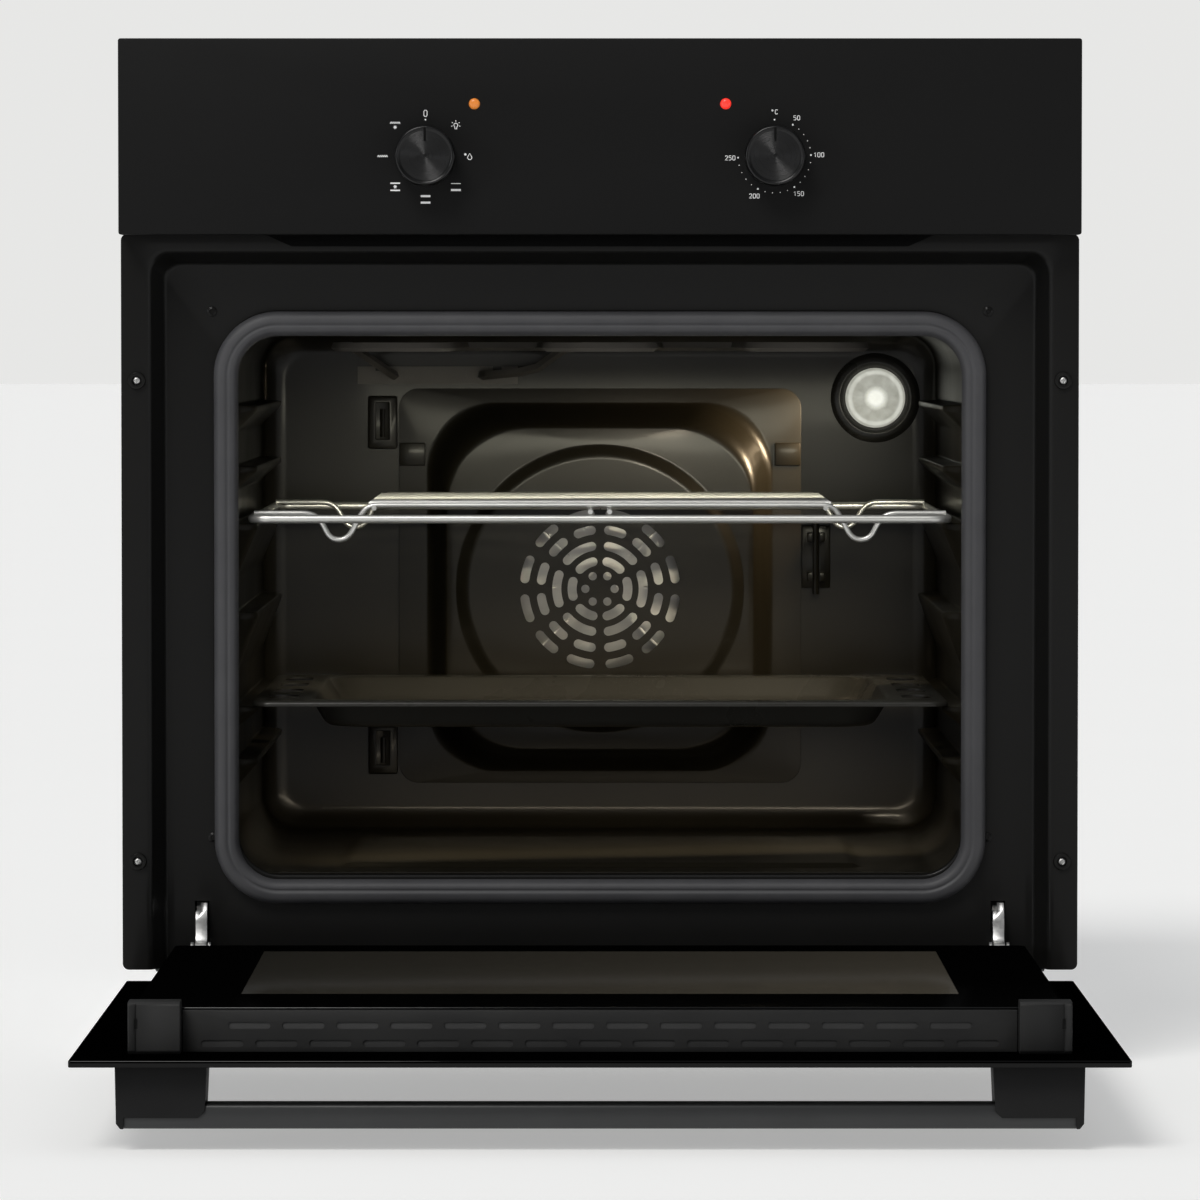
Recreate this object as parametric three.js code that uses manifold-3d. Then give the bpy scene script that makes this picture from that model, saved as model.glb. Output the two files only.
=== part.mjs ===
// Built-in single oven with a drop-down door, shown with the door open.
// Millimetres, +Z up. The origin is the centre of the chassis underside and the front looks along -Y.
import * as THREE from 'three';
import { mergeVertices } from 'three/addons/utils/BufferGeometryUtils.js';
import Module from 'manifold-3d';

const wasm = await Module();
wasm.setup();

// ---- Driving dimensions. A depth is counted back from the face of the control panel. ----
const FACE = { halfWidth: 297.5, y: -294, top: 581.3, panelFoot: 460.3 };
const FRAME = { halfWidth: 297.5, foot: 3, top: 460, front: 22, floor: 40.5, sheet: 1.5 };
const MOUTH = { halfWidth: 226, foot: 61, top: 399, radius: 26, lip: 48 };
const CASING = { halfWidth: 278.2, height: 572, front: 36, brow: 21.4, rear: 563.3, sheet: 1.2 };
const CAVITY = { halfWidth: 229, foot: 62, top: 400, radius: 24, front: 48.4, dish: 417.5, rear: 430, sheet: 1 };
const SPLIT = 205; // the cavity sides end here, and the roof and floor sheets begin
const LEDGES = [[354, 16], [316, 15], [280, 35], [224, 38], [165, 14], [132, 18]]; // top and height
const LEDGE = { inner: 215.5, lip: 3, front: 56, rear: 411, run: 18 };
const FAN = { z: 226.5, wheelRadius: 72, seat: 428.4, bossFront: 403, stepFront: 399, sheet: 1.2 };
const LAMP = { x: 187.5, z: 355.6, radius: 20.4, seatRadius: 30.5 };
const KNOB = { x: 107.7, z: 508.5, radius: 18.5, reach: 21, gap: 0.8, shaft: 3 };
const LIGHT = { x: 77.6, z: 541, radius: 3.4 };
const PIVOT = { depth: 26, z: 15 };
const HINGE = { x: 249, arm: 3.5, gap: 4.6, wall: 1.6, lever: 10 };
const DOOR = { front: -416, rear: 55, low: -11, glass: 4, innerTop: 18.5, innerHalf: 264.5, innerRear: 19.5 };
const COLUMN = { inner: 232, sheet: 1.5, front: -354.7 };
const STRIP = { face: -373, halfWidth: 236, high: 17, pitch: 30.5, slot: 24, slotHeight: 4, upper: 8.4, lower: -1.8 };
const CORNER = { inner: 236.4, outer: 266, front: -387, rear: -355, high: 23.3 };
const HANDLE = { outer: 272.4, inner: 220.6, foot: -41, barLow: -47.2, barHigh: -33.3, barFront: -400, barRear: -381 };
const SHELF = { rail: 218.5, wire: 2.9, z: 283.2, front: 50, rear: 385, thin: 1.9, deck: 146, deckZ: 291 };
const TRAY = { halfWidth: 219, near: 55, far: 390, rim: 168.8, basin: 182, basinFoot: 172, depth: 17, sheet: 1.1 };
const GAP = 0.3; // left between pieces that rest on each other

const BEND_STEPS = 5;
const depthToY = (depth) => FACE.y + depth;

// ---- Solids ----
function toSolid(geometry) {
  const bare = geometry.clone();
  bare.deleteAttribute('normal');
  bare.deleteAttribute('uv');
  const merged = mergeVertices(bare, 1e-4);
  const vertProperties = Float32Array.from(merged.attributes.position.array);
  const triVerts = Uint32Array.from(merged.index.array);
  return new wasm.Manifold(new wasm.Mesh({ numProp: 3, vertProperties, triVerts }));
}

function toGeometry(solid) {
  const mesh = solid.getMesh();
  const geometry = new THREE.BufferGeometry();
  geometry.setAttribute('position', new THREE.BufferAttribute(mesh.vertProperties, 3));
  geometry.setIndex(new THREE.BufferAttribute(mesh.triVerts, 1));
  return geometry;
}

function combine(operation, geometries) {
  const solids = geometries.map(toSolid);
  return toGeometry(solids.reduce((whole, next) => whole[operation](next)));
}

const join = (...geometries) => combine('add', geometries);
const cut = (...geometries) => combine('subtract', geometries);
const common = (...geometries) => combine('intersect', geometries);

function mirrored(geometry) {
  const copy = geometry.clone().scale(-1, 1, 1);
  const order = copy.index.array;
  for (let i = 0; i < order.length; i += 3) {
    [order[i], order[i + 1]] = [order[i + 1], order[i]];
  }
  return copy;
}

/** Skin over loops that all have the same number of points, capped at its ends or closed into a ring. */
function loft(loops, ring = false) {
  const count = loops[0].length;
  const index = [];
  const spans = ring ? loops.length : loops.length - 1;
  for (let span = 0; span < spans; span += 1) {
    const here = span * count;
    const there = ((span + 1) % loops.length) * count;
    for (let k = 0; k < count; k += 1) {
      const next = (k + 1) % count;
      index.push(here + k, here + next, there + next, here + k, there + next, there + k);
    }
  }
  if (!ring) {
    const last = (loops.length - 1) * count;
    for (let k = 1; k < count - 1; k += 1) {
      index.push(0, k + 1, k, last, last + k, last + k + 1);
    }
  }
  const geometry = new THREE.BufferGeometry();
  geometry.setAttribute('position', new THREE.Float32BufferAttribute(loops.flat(2), 3));
  geometry.setIndex(facingOut(loops.flat(), index));
  return geometry;
}

/** The same triangles, turned over if they enclose a negative volume. */
function facingOut(points, index) {
  let volume = 0;
  for (let i = 0; i < index.length; i += 3) {
    const [a, b, c] = [0, 1, 2].map((k) => new THREE.Vector3(...points[index[i + k]]));
    volume += a.dot(b.cross(c));
  }
  return volume > 0 ? index : index.slice().reverse();
}

// ---- Outlines ----
/** Rounded rectangle as a loop of points (u, v); a radius equal to both half sizes gives a circle. */
function roundedPoints(halfU, lowV, highV, radius, steps = BEND_STEPS) {
  const corners = [[1, highV, 0], [-1, highV, 1], [-1, lowV, 2], [1, lowV, 3]];
  return corners.flatMap(([side, v, quarter]) => {
    const centre = [side * (halfU - radius), v === highV ? highV - radius : lowV + radius];
    return Array.from({ length: steps + 1 }, (_, step) => {
      const angle = (quarter + step / steps) * Math.PI / 2;
      return [centre[0] + radius * Math.cos(angle), centre[1] + radius * Math.sin(angle)];
    });
  });
}

const upright = (points, depth, x = 0) => points.map(([u, v]) => [x + u, depthToY(depth), v]);
const level = (points, z) => points.map(([u, v]) => [u, depthToY(v), z]);
const uprightLoop = (half, low, high, radius, depth) => upright(roundedPoints(half, low, high, radius), depth);
const circleLoop = (radius, z, depth) => uprightLoop(radius, z - radius, z + radius, radius, depth);

function shapeOf(points) {
  return new THREE.Shape(points.map(([u, v]) => new THREE.Vector2(u, v)));
}

/** Plate in the upright plane: outline (x, z), from one depth to another. */
function uprightPlate(outline, near, far) {
  const options = { depth: far - near, bevelEnabled: false };
  const plate = new THREE.ExtrudeGeometry(shapeOf(outline), options);
  return plate.rotateX(Math.PI / 2).translate(0, depthToY(far), 0);
}

/** Plate in the side plane: outline (depth, z), from one x to another. */
function sidePlate(outline, lowX, highX) {
  const points = outline.map(([depth, z]) => [depthToY(depth), z]);
  const plate = new THREE.ExtrudeGeometry(shapeOf(points), { depth: highX - lowX, bevelEnabled: false });
  const axes = [new THREE.Vector3(0, 1, 0), new THREE.Vector3(0, 0, 1), new THREE.Vector3(1, 0, 0)];
  return plate.applyMatrix4(new THREE.Matrix4().makeBasis(...axes)).translate(lowX, 0, 0);
}

/** Plate in the level plane: outline (x, depth), from one z to another. */
function levelPlate(outline, low, high) {
  const points = outline.map(([x, depth]) => [x, depthToY(depth)]);
  const options = { depth: high - low, bevelEnabled: false };
  return new THREE.ExtrudeGeometry(shapeOf(points), options).translate(0, 0, low);
}

function block(lowX, highX, near, far, low, high) {
  const box = new THREE.BoxGeometry(highX - lowX, far - near, high - low);
  return box.translate((lowX + highX) / 2, depthToY((near + far) / 2), (low + high) / 2);
}

/** Turned piece whose axis runs front to back: profile (radius, depth), starting and ending on the axis. */
function turned(profile, x, z, sides = 24) {
  const points = profile.map(([radius, depth]) => new THREE.Vector2(radius, depthToY(depth)));
  const geometry = new THREE.LatheGeometry(points, sides);
  const merged = mergeVertices(bareOf(geometry), 1e-4);
  const kept = withoutSlivers(merged);
  return kept.translate(x, 0, z);
}

function bareOf(geometry) {
  geometry.deleteAttribute('normal');
  geometry.deleteAttribute('uv');
  return geometry;
}

/** Drops the empty triangles that a turned shape has on its axis, and turns its faces outwards. */
function withoutSlivers(geometry) {
  const order = Array.from(geometry.index.array);
  const kept = [];
  for (let i = 0; i < order.length; i += 3) {
    const [a, b, c] = order.slice(i, i + 3);
    if (a !== b && b !== c && a !== c) {
      kept.push(a, b, c);
    }
  }
  const flat = Array.from(geometry.attributes.position.array);
  const points = Array.from({ length: flat.length / 3 }, (_, i) => flat.slice(3 * i, 3 * i + 3));
  geometry.setIndex(facingOut(points, kept));
  return geometry;
}

/** Round bar, axis front to back. */
const rod = (radius, near, far, x, z, sides = 16) =>
  turned([[0, near], [radius, near], [radius, far], [0, far]], x, z, sides);

// ---- Wires and tubes ----
/** A path sampled exactly at its own points, so that bends get the steps and straight runs get none. */
class WirePath extends THREE.Curve {
  constructor(points) {
    super();
    this.points = points;
  }

  getPoint(t) {
    const place = t * (this.points.length - 1);
    const first = Math.min(Math.floor(place), this.points.length - 2);
    return this.points[first].clone().lerp(this.points[first + 1], place - first);
  }

  getUtoTmapping(u) {
    return u;
  }
}

/** Corner points (x, depth, z) with each inner corner rounded by a short curve. */
function bent(corners, radius, steps = 3) {
  const points = corners.map(([x, depth, z]) => new THREE.Vector3(x, depthToY(depth), z));
  const path = [points[0]];
  for (let i = 1; i < points.length - 1; i += 1) {
    const back = points[i - 1].clone().sub(points[i]);
    const ahead = points[i + 1].clone().sub(points[i]);
    const reach = Math.min(radius, back.length() / 2.01, ahead.length() / 2.01);
    const start = points[i].clone().addScaledVector(back.normalize(), reach);
    const end = points[i].clone().addScaledVector(ahead.normalize(), reach);
    path.push(...new THREE.QuadraticBezierCurve3(start, points[i], end).getPoints(steps));
  }
  return [...path, points.at(-1)];
}

function wire(points, radius, sides = 6) {
  const section = shapeOf(Array.from({ length: sides }, (_, i) => {
    const angle = 2 * Math.PI * i / sides;
    return [radius * Math.cos(angle), radius * Math.sin(angle)];
  }));
  const options = { steps: points.length - 1, bevelEnabled: false, extrudePath: new WirePath(points) };
  return new THREE.ExtrudeGeometry(section, options);
}

// ---- Front frame and its gasket ----
function fixingPlaces() {
  return [[-287.7, 370], [287.7, 370], [-287.7, 70.6], [287.7, 70.6]];
}

/** Pressed steel frame: flat border, sloped step, recessed floor and a lip round the cavity mouth. */
function frontFrame() {
  const { halfWidth, foot, top, front, floor, sheet } = FRAME;
  const { halfWidth: mouth, foot: mouthFoot, top: mouthTop, radius, lip } = MOUTH;
  const pressing = loft([
    uprightLoop(halfWidth, -40, top, 4, front),
    uprightLoop(279.5, -30, 449.5, 12, front),
    uprightLoop(271.5, -22, 443, 10, floor),
    uprightLoop(mouth, mouthFoot, mouthTop, radius, floor),
    uprightLoop(mouth, mouthFoot, mouthTop, radius, lip),
    uprightLoop(mouth + sheet, mouthFoot - sheet, mouthTop + sheet, radius + sheet, lip),
    uprightLoop(mouth + sheet, mouthFoot - sheet, mouthTop + sheet, radius + sheet, floor + sheet),
    uprightLoop(273, -24, 444.5, 11, floor + sheet),
    uprightLoop(281, -32, 451, 13, front + sheet),
    uprightLoop(halfWidth, -42, top, 4, front + sheet),
  ], true);
  const trimmed = common(pressing, uprightPlate(roundedPoints(halfWidth, foot, top, 4), front - 1, lip + 1));
  const collars = fixingPlaces().map(([x, z]) =>
    turnedRing([[3, 19.5], [5.2, 19.5], [5.2, front + 0.5], [3, front + 0.5]], x, z));
  const holes = fixingPlaces().map(([x, z]) => rod(2, 18, 26, x, z, 10));
  const slots = [-1, 1].map((side) => block(side * HINGE.x - 4.5, side * HINGE.x + 4.5, 38, 44, 24.5, 44.5));
  const supports = [-1, 1].map((side) => hingeSupport(side * HINGE.x));
  return cut(join(trimmed, ...collars, ...supports), ...holes, ...slots);
}

/** Ring turned round a front-to-back axis: closed profile (radius, depth). */
function turnedRing(profile, x, z, sides = 12) {
  const loops = profile.map(([radius, depth]) =>
    Array.from({ length: sides }, (_, i) => {
      const angle = 2 * Math.PI * i / sides;
      return [x + radius * Math.cos(angle), depthToY(depth), z + radius * Math.sin(angle)];
    }));
  return loft(loops, true);
}

/** Box bracket behind the frame that a hinge arm hooks into. */
function hingeSupport(x) {
  const back = FRAME.floor + 0.7;
  const shell = block(x - 9, x + 9, back, 82, 18, 52);
  const room = block(x - 7.5, x + 7.5, FRAME.floor - 1, 80.5, 19.5, 50.5);
  return cut(shell, room);
}

/** Silicone door seal with two ridges, on the frame floor round the mouth. */
function doorGasket() {
  const [half, low, high, radius] = [240.8, 43, 413, 40];
  const section = [[0, 40.2], [0, 35.5], [3.4, 30.6], [6.2, 33.4], [9, 29.8], [13, 31.6], [15.3, 37], [15.3, 40.2]];
  const loops = section.map(([inward, depth]) =>
    uprightLoop(half - inward, low + inward, high - inward, radius - inward, depth));
  return loft(loops, true);
}

// ---- Casing ----
/** Side cover: it starts behind the frame's step and, above the frame, reaches forward to the panel. */
function casingSide() {
  const { halfWidth, height, front, rear, sheet } = CASING;
  const [back, high] = [rear - sheet - GAP, height - sheet - GAP];
  const outline = [[front, sheet + GAP], [back, sheet + GAP], [back, high], [CASING.brow, high],
    [CASING.brow, FRAME.top + 2], [front, FRAME.top + 2]];
  const wall = sidePlate(outline, halfWidth - sheet, halfWidth);
  const louvres = Array.from({ length: 5 }, (_, i) =>
    block(halfWidth - 3, halfWidth + 1, 380 + 26 * i, 390 + 26 * i, 476, 540));
  return cut(wall, ...louvres);
}

function casingTop() {
  const { halfWidth, height, brow, rear, sheet } = CASING;
  const cover = block(-halfWidth, halfWidth, brow, rear, height - sheet, height);
  const vents = Array.from({ length: 8 }, (_, i) =>
    block(-105 + 27 * i, -93 + 27 * i, 430, 500, height - 4, height + 1));
  return cut(cover, ...vents);
}

function casingBase() {
  const { halfWidth, front, rear, sheet } = CASING;
  return block(-halfWidth, halfWidth, front + 7, rear, 0, sheet);
}

/** Rear cover with two rows of air slots and the hole for the cable gland. */
function casingBack() {
  const { halfWidth, height, rear, sheet } = CASING;
  const [low, high, half] = [sheet + GAP, height - sheet - GAP, halfWidth - sheet - GAP];
  const plate = block(-half, half, rear - sheet, rear, low, high);
  const slots = [-1, 1].flatMap((side) => Array.from({ length: 6 }, (_, i) =>
    block(side * 150 - 45, side * 150 + 45, rear - 4, rear + 1, 300 + 18 * i, 307 + 18 * i)));
  return cut(plate, ...slots, rod(11.3, rear - 4, rear + 1, 215, 60, 16));
}

// ---- Cavity ----
/** Side wall of the cavity with its two rounded corners and six shelf ledges. */
function cavitySide() {
  const { halfWidth, foot, top, radius, front, dish, sheet } = CAVITY;
  const arc = (size, startQuarter, centreZ) => Array.from({ length: BEND_STEPS + 1 }, (_, step) => {
    const angle = (startQuarter + step / BEND_STEPS) * Math.PI / 2;
    return [halfWidth - radius + size * Math.cos(angle), centreZ + size * Math.sin(angle)];
  });
  const inside = [...arc(radius, 3, foot + radius), ...arc(radius, 0, top - radius)];
  const outside = [...arc(radius + sheet, 3, foot + radius), ...arc(radius + sheet, 0, top - radius)];
  const wall = uprightPlate([...outside, ...inside.reverse()], front, dish - GAP);
  return join(wall, ...LEDGES.map(([high, tall]) => shelfLedge(high, tall)));
}

/** One pressed ledge: flat on top, a short upright lip, and a sloped underside, tapered at both ends. */
function shelfLedge(high, tall) {
  const { inner, lip, front, rear, run } = LEDGE;
  const root = CAVITY.halfWidth + 0.5;
  const section = (depth, reach) => [
    [root, depthToY(depth), high],
    [reach, depthToY(depth), high],
    [reach, depthToY(depth), high - lip],
    [root, depthToY(depth), high - tall],
  ];
  const shy = CAVITY.halfWidth - 0.4;
  return loft([section(front, shy), section(front + run, inner), section(rear - run, inner), section(rear, shy)]);
}

function cavityRoof() {
  return block(-SPLIT + GAP, SPLIT - GAP, CAVITY.front, CAVITY.dish - GAP, CAVITY.top, CAVITY.top + CAVITY.sheet);
}

/** Cavity floor with its middle pressed up and a cross step near the back. */
function cavityFloor() {
  const { foot, sheet, front, dish } = CAVITY;
  const half = SPLIT - GAP;
  const ring = (halfX, near, far, z) => level(roundedPoints(halfX, near, far, 12, 2), z);
  return loft([
    ring(half - 46, 92, 314, foot + 2.5 - sheet),
    ring(half - 40, 86, 320, foot - sheet),
    ring(half, front, dish - GAP, foot - sheet),
    ring(half, front, dish - GAP, foot),
    ring(half - 40, 86, 320, foot),
    ring(half - 46, 92, 314, foot + 2.5),
  ]);
}

/** Rear wall: a shallow dish with rounded edges, holes for the fan, lamp and elements, and its brackets. */
function cavityBack() {
  const { halfWidth, foot, top, radius, dish, rear, sheet } = CAVITY;
  const fall = 10.5;
  const shell = loft([
    uprightLoop(halfWidth - fall, foot + fall, top - fall, 18, rear),
    uprightLoop(halfWidth - 3, foot + 3, top - 3, 22, rear - 4.5),
    uprightLoop(halfWidth, foot, top, radius, dish),
    uprightLoop(halfWidth + sheet, foot - sheet, top + sheet, radius + sheet, dish),
    uprightLoop(halfWidth - 2, foot + 2, top - 2, 22, rear - 3.5 + sheet),
    uprightLoop(halfWidth - fall, foot + fall, top - fall, 18, rear + sheet),
  ]);
  const hooks = [[321, 357], [99, 133]].map(([low, high]) => rearHook(low, high));
  const holes = [
    rod(14, rear - 5, rear + 5, 0, FAN.z, 16),
    rod(26, rear - 9, rear + 5, LAMP.x, LAMP.z, 24),
    ...elementLegs().map((x) => rod(5, rear - 5, rear + 5, x, 371, 10)),
  ];
  return cut(join(shell, ...hooks, sensorBracket()), ...holes);
}

function rearHook(low, high) {
  const plate = block(-158, -138, CAVITY.rear - 7, CAVITY.rear + 0.5, low, high);
  return cut(plate, block(-151.5, -144.5, CAVITY.rear - 8, CAVITY.rear - 2, low + 9, high - 5));
}

function sensorBracket() {
  const [low, high] = [226, 269];
  const plate = block(137.5, 157, CAVITY.rear - 2, CAVITY.rear + 0.5, low, high);
  const clips = [low + 5, high - 11].map((z) => block(141, 153, CAVITY.rear - 14, CAVITY.rear - 1, z, z + 6));
  return cut(join(plate, ...clips), block(144.2, 149.8, CAVITY.rear - 15, CAVITY.rear - 6, low, high));
}

function sensorBulb() {
  const [x, depth] = [147, CAVITY.rear - 9.5];
  return wire(bent([[x, depth, 222], [x, depth, 260], [x, depth - 0.1, 274]], 1), 2.1, 8);
}

// ---- Fan cover and its grille ----
/** Round-ended slot that follows a circle about the fan axis. */
function grilleSlot(ring, middle, halfSpan, halfWidth) {
  const steps = halfSpan > 10 ? 2 : 1;
  const along = (radius, from, to) => Array.from({ length: steps + 1 }, (_, i) => {
    const angle = from + (to - from) * i / steps;
    return [radius * Math.cos(angle), FAN.z + radius * Math.sin(angle)];
  });
  const [start, end] = [middle - halfSpan, middle + halfSpan].map(THREE.MathUtils.degToRad);
  const pad = Math.atan(halfWidth / ring);
  const tip = (angle) => [ring * Math.cos(angle), FAN.z + ring * Math.sin(angle)];
  const outline = [
    ...along(ring + halfWidth, start, end),
    tip(end + pad),
    ...along(ring - halfWidth, end, start),
    tip(start - pad),
  ];
  return uprightPlate(outline, FAN.stepFront - 2, FAN.stepFront + 4);
}

function grilleSlots() {
  const rows = [[18.9, 6, 0, 15], [29.3, 6, 0, 18], [40.1, 12, 15, 6.5], [51.3, 12, 15, 7.2]];
  const slots = rows.flatMap(([ring, count, first, halfSpan]) =>
    Array.from({ length: count }, (_, i) => grilleSlot(ring, first + 360 * i / count, halfSpan, 3.05)));
  const holes = Array.from({ length: 6 }, (_, i) => {
    const angle = i * Math.PI / 3;
    const [x, z] = [9.9 * Math.cos(angle), FAN.z + 9.9 * Math.sin(angle)];
    return rod(2.8, FAN.stepFront - 2, FAN.stepFront + 4, x, z, 6);
  });
  return [...slots, ...holes];
}

function fanCover() {
  const { z, seat, bossFront, stepFront, sheet } = FAN;
  const boss = (half, tall, radius, depth) => uprightLoop(half, z - tall, z + tall, radius, depth);
  const skin = (shift) => [
    circleLoop(90 - shift, z, stepFront + shift),
    circleLoop(97.5 - shift, z, bossFront + shift),
    boss(105 - shift, 111 - shift, 47, bossFront + shift),
    boss(114.8 - shift, 124.3 - shift, 51, seat + (shift > 0 ? 0 : -sheet)),
  ];
  const edge = [seat - sheet, seat].map((depth) => uprightLoop(137, 93, 362, 13.5, depth));
  const plate = loft([...skin(0), ...edge, ...skin(sheet).reverse()]);
  return cut(plate, ...grilleSlots());
}

/** Fan wheel: back disc, bent blades, hub and the shaft that runs into the motor. */
function fanImpeller() {
  const [near, far] = [409, 424];
  const disc = rod(FAN.wheelRadius, far - 1.5, far, 0, 0, 32);
  const hub = rod(11, near + 2, far, 0, 0, 16);
  const shaft = rod(4, near, 448, 0, 0, 12);
  const blades = Array.from({ length: 8 }, (_, i) => {
    const blade = block(30, FAN.wheelRadius - 3, near, far - 1, -0.8, 0.8);
    return blade.rotateY(i * Math.PI / 4);
  });
  return join(disc, hub, shaft, ...blades);
}

function fanMotor() {
  const can = rod(38, 446, 505, 0, FAN.z, 24);
  const flange = block(-70, 70, 442, 446.5, FAN.z - 22, FAN.z + 22);
  const boss = rod(12, 436, 448, 0, FAN.z, 16);
  return cut(join(can, flange, boss), rod(4.5, 430, 452, 0, FAN.z, 12));
}

// ---- Lamp ----
function lampHousing() {
  const { x, z, seatRadius } = LAMP;
  const rear = CAVITY.rear;
  const profile = [[0, 473], [23, 473], [23, rear - 1], [21.6, rear - 2.2], [24, rear - 3.6],
    [seatRadius, rear - 2.2], [seatRadius, rear - GAP], [25.4, rear - GAP], [25.4, 476], [0, 476]];
  return turned(profile, x, z, 20);
}

function lampGlass() {
  const { x, z, radius } = LAMP;
  const [front, back] = [414, 434];
  const profile = [[0, front], [9, front + 0.8], [16, front + 3.6], [radius - 0.8, front + 8], [radius, front + 14],
    [radius, back], [radius - 2.4, back], [radius - 2.4, front + 14], [15, front + 6], [8, front + 3.4], [0, front + 2.6]];
  return turned(profile, x, z, 20);
}

function lampBulb() {
  const profile = [[0, 421], [4, 422], [6.5, 425], [7, 432], [6.5, 438], [11, 440], [11, 462], [7, 465], [7, 472.5],
    [0, 472.5]];
  return turned(profile, LAMP.x, LAMP.z, 12);
}

// ---- Heating elements ----
const elementLegs = () => [-140, -80];

/** Grill element: a tube that loops under the roof and leaves through a flange at the rear left. */
function grillElement() {
  const [high, low, rear] = [391, 371, 462];
  const [outer, middle, inner] = [168, 96, 34];
  const route = [
    [-140, rear, low], [-140, 400, low], [-outer, 380, high], [-outer, 96, high], [-middle, 96, high],
    [-middle, 350, high], [-inner, 350, high], [-inner, 96, high], [inner, 96, high], [inner, 350, high],
    [middle, 350, high], [middle, 96, high], [outer, 96, high], [outer, 384, high], [-26, 384, high],
    [-40, 404, 375], [-80, 404, low], [-80, rear, low],
  ];
  const tube = wire(bent(route, 26, 2), 3.2, 5);
  const flange = block(-165, -56, CAVITY.rear - 2, CAVITY.rear - GAP, 365, 377);
  const notches = [-150, -70].map((x) => block(x - 3, x + 3, CAVITY.rear - 4, CAVITY.rear + 2, 374, 379));
  return join(cut(flange, ...notches), tube);
}

/** Bottom element: a flat loop under the cavity floor, with both ends at the back. */
function bottomElement() {
  const z = 53;
  const route = [
    [-30, 470, z], [-30, 380, z], [-150, 380, z], [-150, 100, z], [-60, 100, z], [-60, 330, z],
    [60, 330, z], [60, 100, z], [150, 100, z], [150, 380, z], [30, 380, z], [30, 470, z],
  ];
  return wire(bent(route, 24, 2), 3.2, 5);
}

// ---- Inside the casing ----
function insulationWrap() {
  const outer = roundedPoints(252, 34, 428, 40, 3);
  const inner = roundedPoints(233, 44, 406, 30, 3);
  const [near, far] = [84, 424];
  return loft([upright(outer, near), upright(outer, far), upright(inner, far), upright(inner, near)], true);
}

function airDuct() {
  const outer = roundedPoints(200, 437, 459, 1, 1);
  const inner = roundedPoints(198.8, 438.2, 457.8, 0.6, 1);
  return loft([upright(outer, 46), upright(outer, 300), upright(inner, 300), upright(inner, 46)], true);
}

/** Cooling fan scroll, open along its front for the air to leave, with its axis left to right. */
const BLOWER = { depth: 345, z: 492, radius: 28, half: 95 };

function blowerHousing() {
  const { depth, z, radius, half } = BLOWER;
  const arcOf = (size) => Array.from({ length: 11 }, (_, i) => {
    const angle = THREE.MathUtils.degToRad(-120 + 24 * i);
    return [depth + size * Math.cos(angle), z + size * Math.sin(angle)];
  });
  const scroll = sidePlate([...arcOf(radius + 9), ...arcOf(radius + 7.5).reverse()], -half, half);
  const cheek = (x) => {
    const disc = new THREE.CylinderGeometry(radius + 9, radius + 9, 2, 24);
    return disc.rotateZ(Math.PI / 2).translate(x, depthToY(depth), z);
  };
  const bearing = new THREE.CylinderGeometry(4.5, 4.5, 2 * half + 20, 12);
  const bore = bearing.rotateZ(Math.PI / 2).translate(0, depthToY(depth), z);
  return cut(join(scroll, cheek(-half), cheek(half)), bore);
}

function blowerRotor() {
  const { depth, z, radius, half } = BLOWER;
  const across = (size, lowX, highX, sides) => {
    const bar = new THREE.CylinderGeometry(size, size, highX - lowX, sides);
    return bar.rotateZ(Math.PI / 2).translate((lowX + highX) / 2, 0, 0);
  };
  const discs = [-1, 1].map((side) => across(radius, side * (half - 6) - 1, side * (half - 6) + 1, 16));
  const shaft = across(4, -half - 6, half + 14, 8);
  const blades = Array.from({ length: 8 }, (_, i) => {
    const blade = new THREE.BoxGeometry(2 * (half - 6), 1, 7).translate(0, 3, radius - 4.5);
    return blade.rotateX(i * Math.PI / 4);
  });
  return join(...discs, shaft, ...blades).translate(0, depthToY(depth), z);
}

function blowerMotor() {
  const { depth, z, half } = BLOWER;
  const can = block(half + 6, half + 46, depth - 24, depth + 24, z - 24, z + 24);
  const bore = new THREE.CylinderGeometry(4.5, 4.5, 24, 12).rotateZ(Math.PI / 2);
  return cut(can, bore.translate(half + 6, depthToY(depth), z));
}

/** Mains terminal box on the inside of the rear cover, with its cable gland through it. */
function terminalBlock() {
  const box = block(185, 245, CASING.rear - 34, CASING.rear - 1.6, 38, 84);
  const gland = rod(10.8, CASING.rear - 3, CASING.rear + 9, 215, 60, 16);
  return cut(join(box, gland), rod(5.2, CASING.rear - 20, CASING.rear + 12, 215, 60, 12));
}

// ---- Control panel ----
function controlPanel() {
  const { halfWidth, panelFoot, top } = FACE;
  const [front, back, sheet] = [0, 21, 1.5];
  const loop = (inset, depth) =>
    uprightLoop(halfWidth - inset, panelFoot + inset, top - inset, Math.max(2.5 - inset, 0.8), depth);
  const shell = loft([loop(sheet, front + sheet), loop(sheet, back), loop(0, back), loop(0, 0.8), loop(0.8, front)]);
  const bores = [-1, 1].flatMap((side) => [
    rod(4.6, -2, 4, side * KNOB.x, KNOB.z, 12),
    rod(LIGHT.radius + GAP, -2, 4, side * LIGHT.x, LIGHT.z, 16),
  ]);
  return cut(shell, ...bores);
}

/** Knob with a flat face, a chamfered rim, a waisted skirt and a shaft that runs into the switch. */
function knob() {
  const { radius, reach, gap, shaft } = KNOB;
  const profile = [[0, -reach], [radius - 1.2, -reach], [radius, -reach + 1.2], [radius, -4],
    [radius - 1, -gap], [shaft, -gap], [shaft, 28], [0, 28]];
  const body = turned(profile, 0, 0, 24);
  const groove = block(-0.75, 0.75, -reach - 1, -reach + 0.8, 10.5, radius + 1);
  return cut(body, groove);
}

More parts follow.
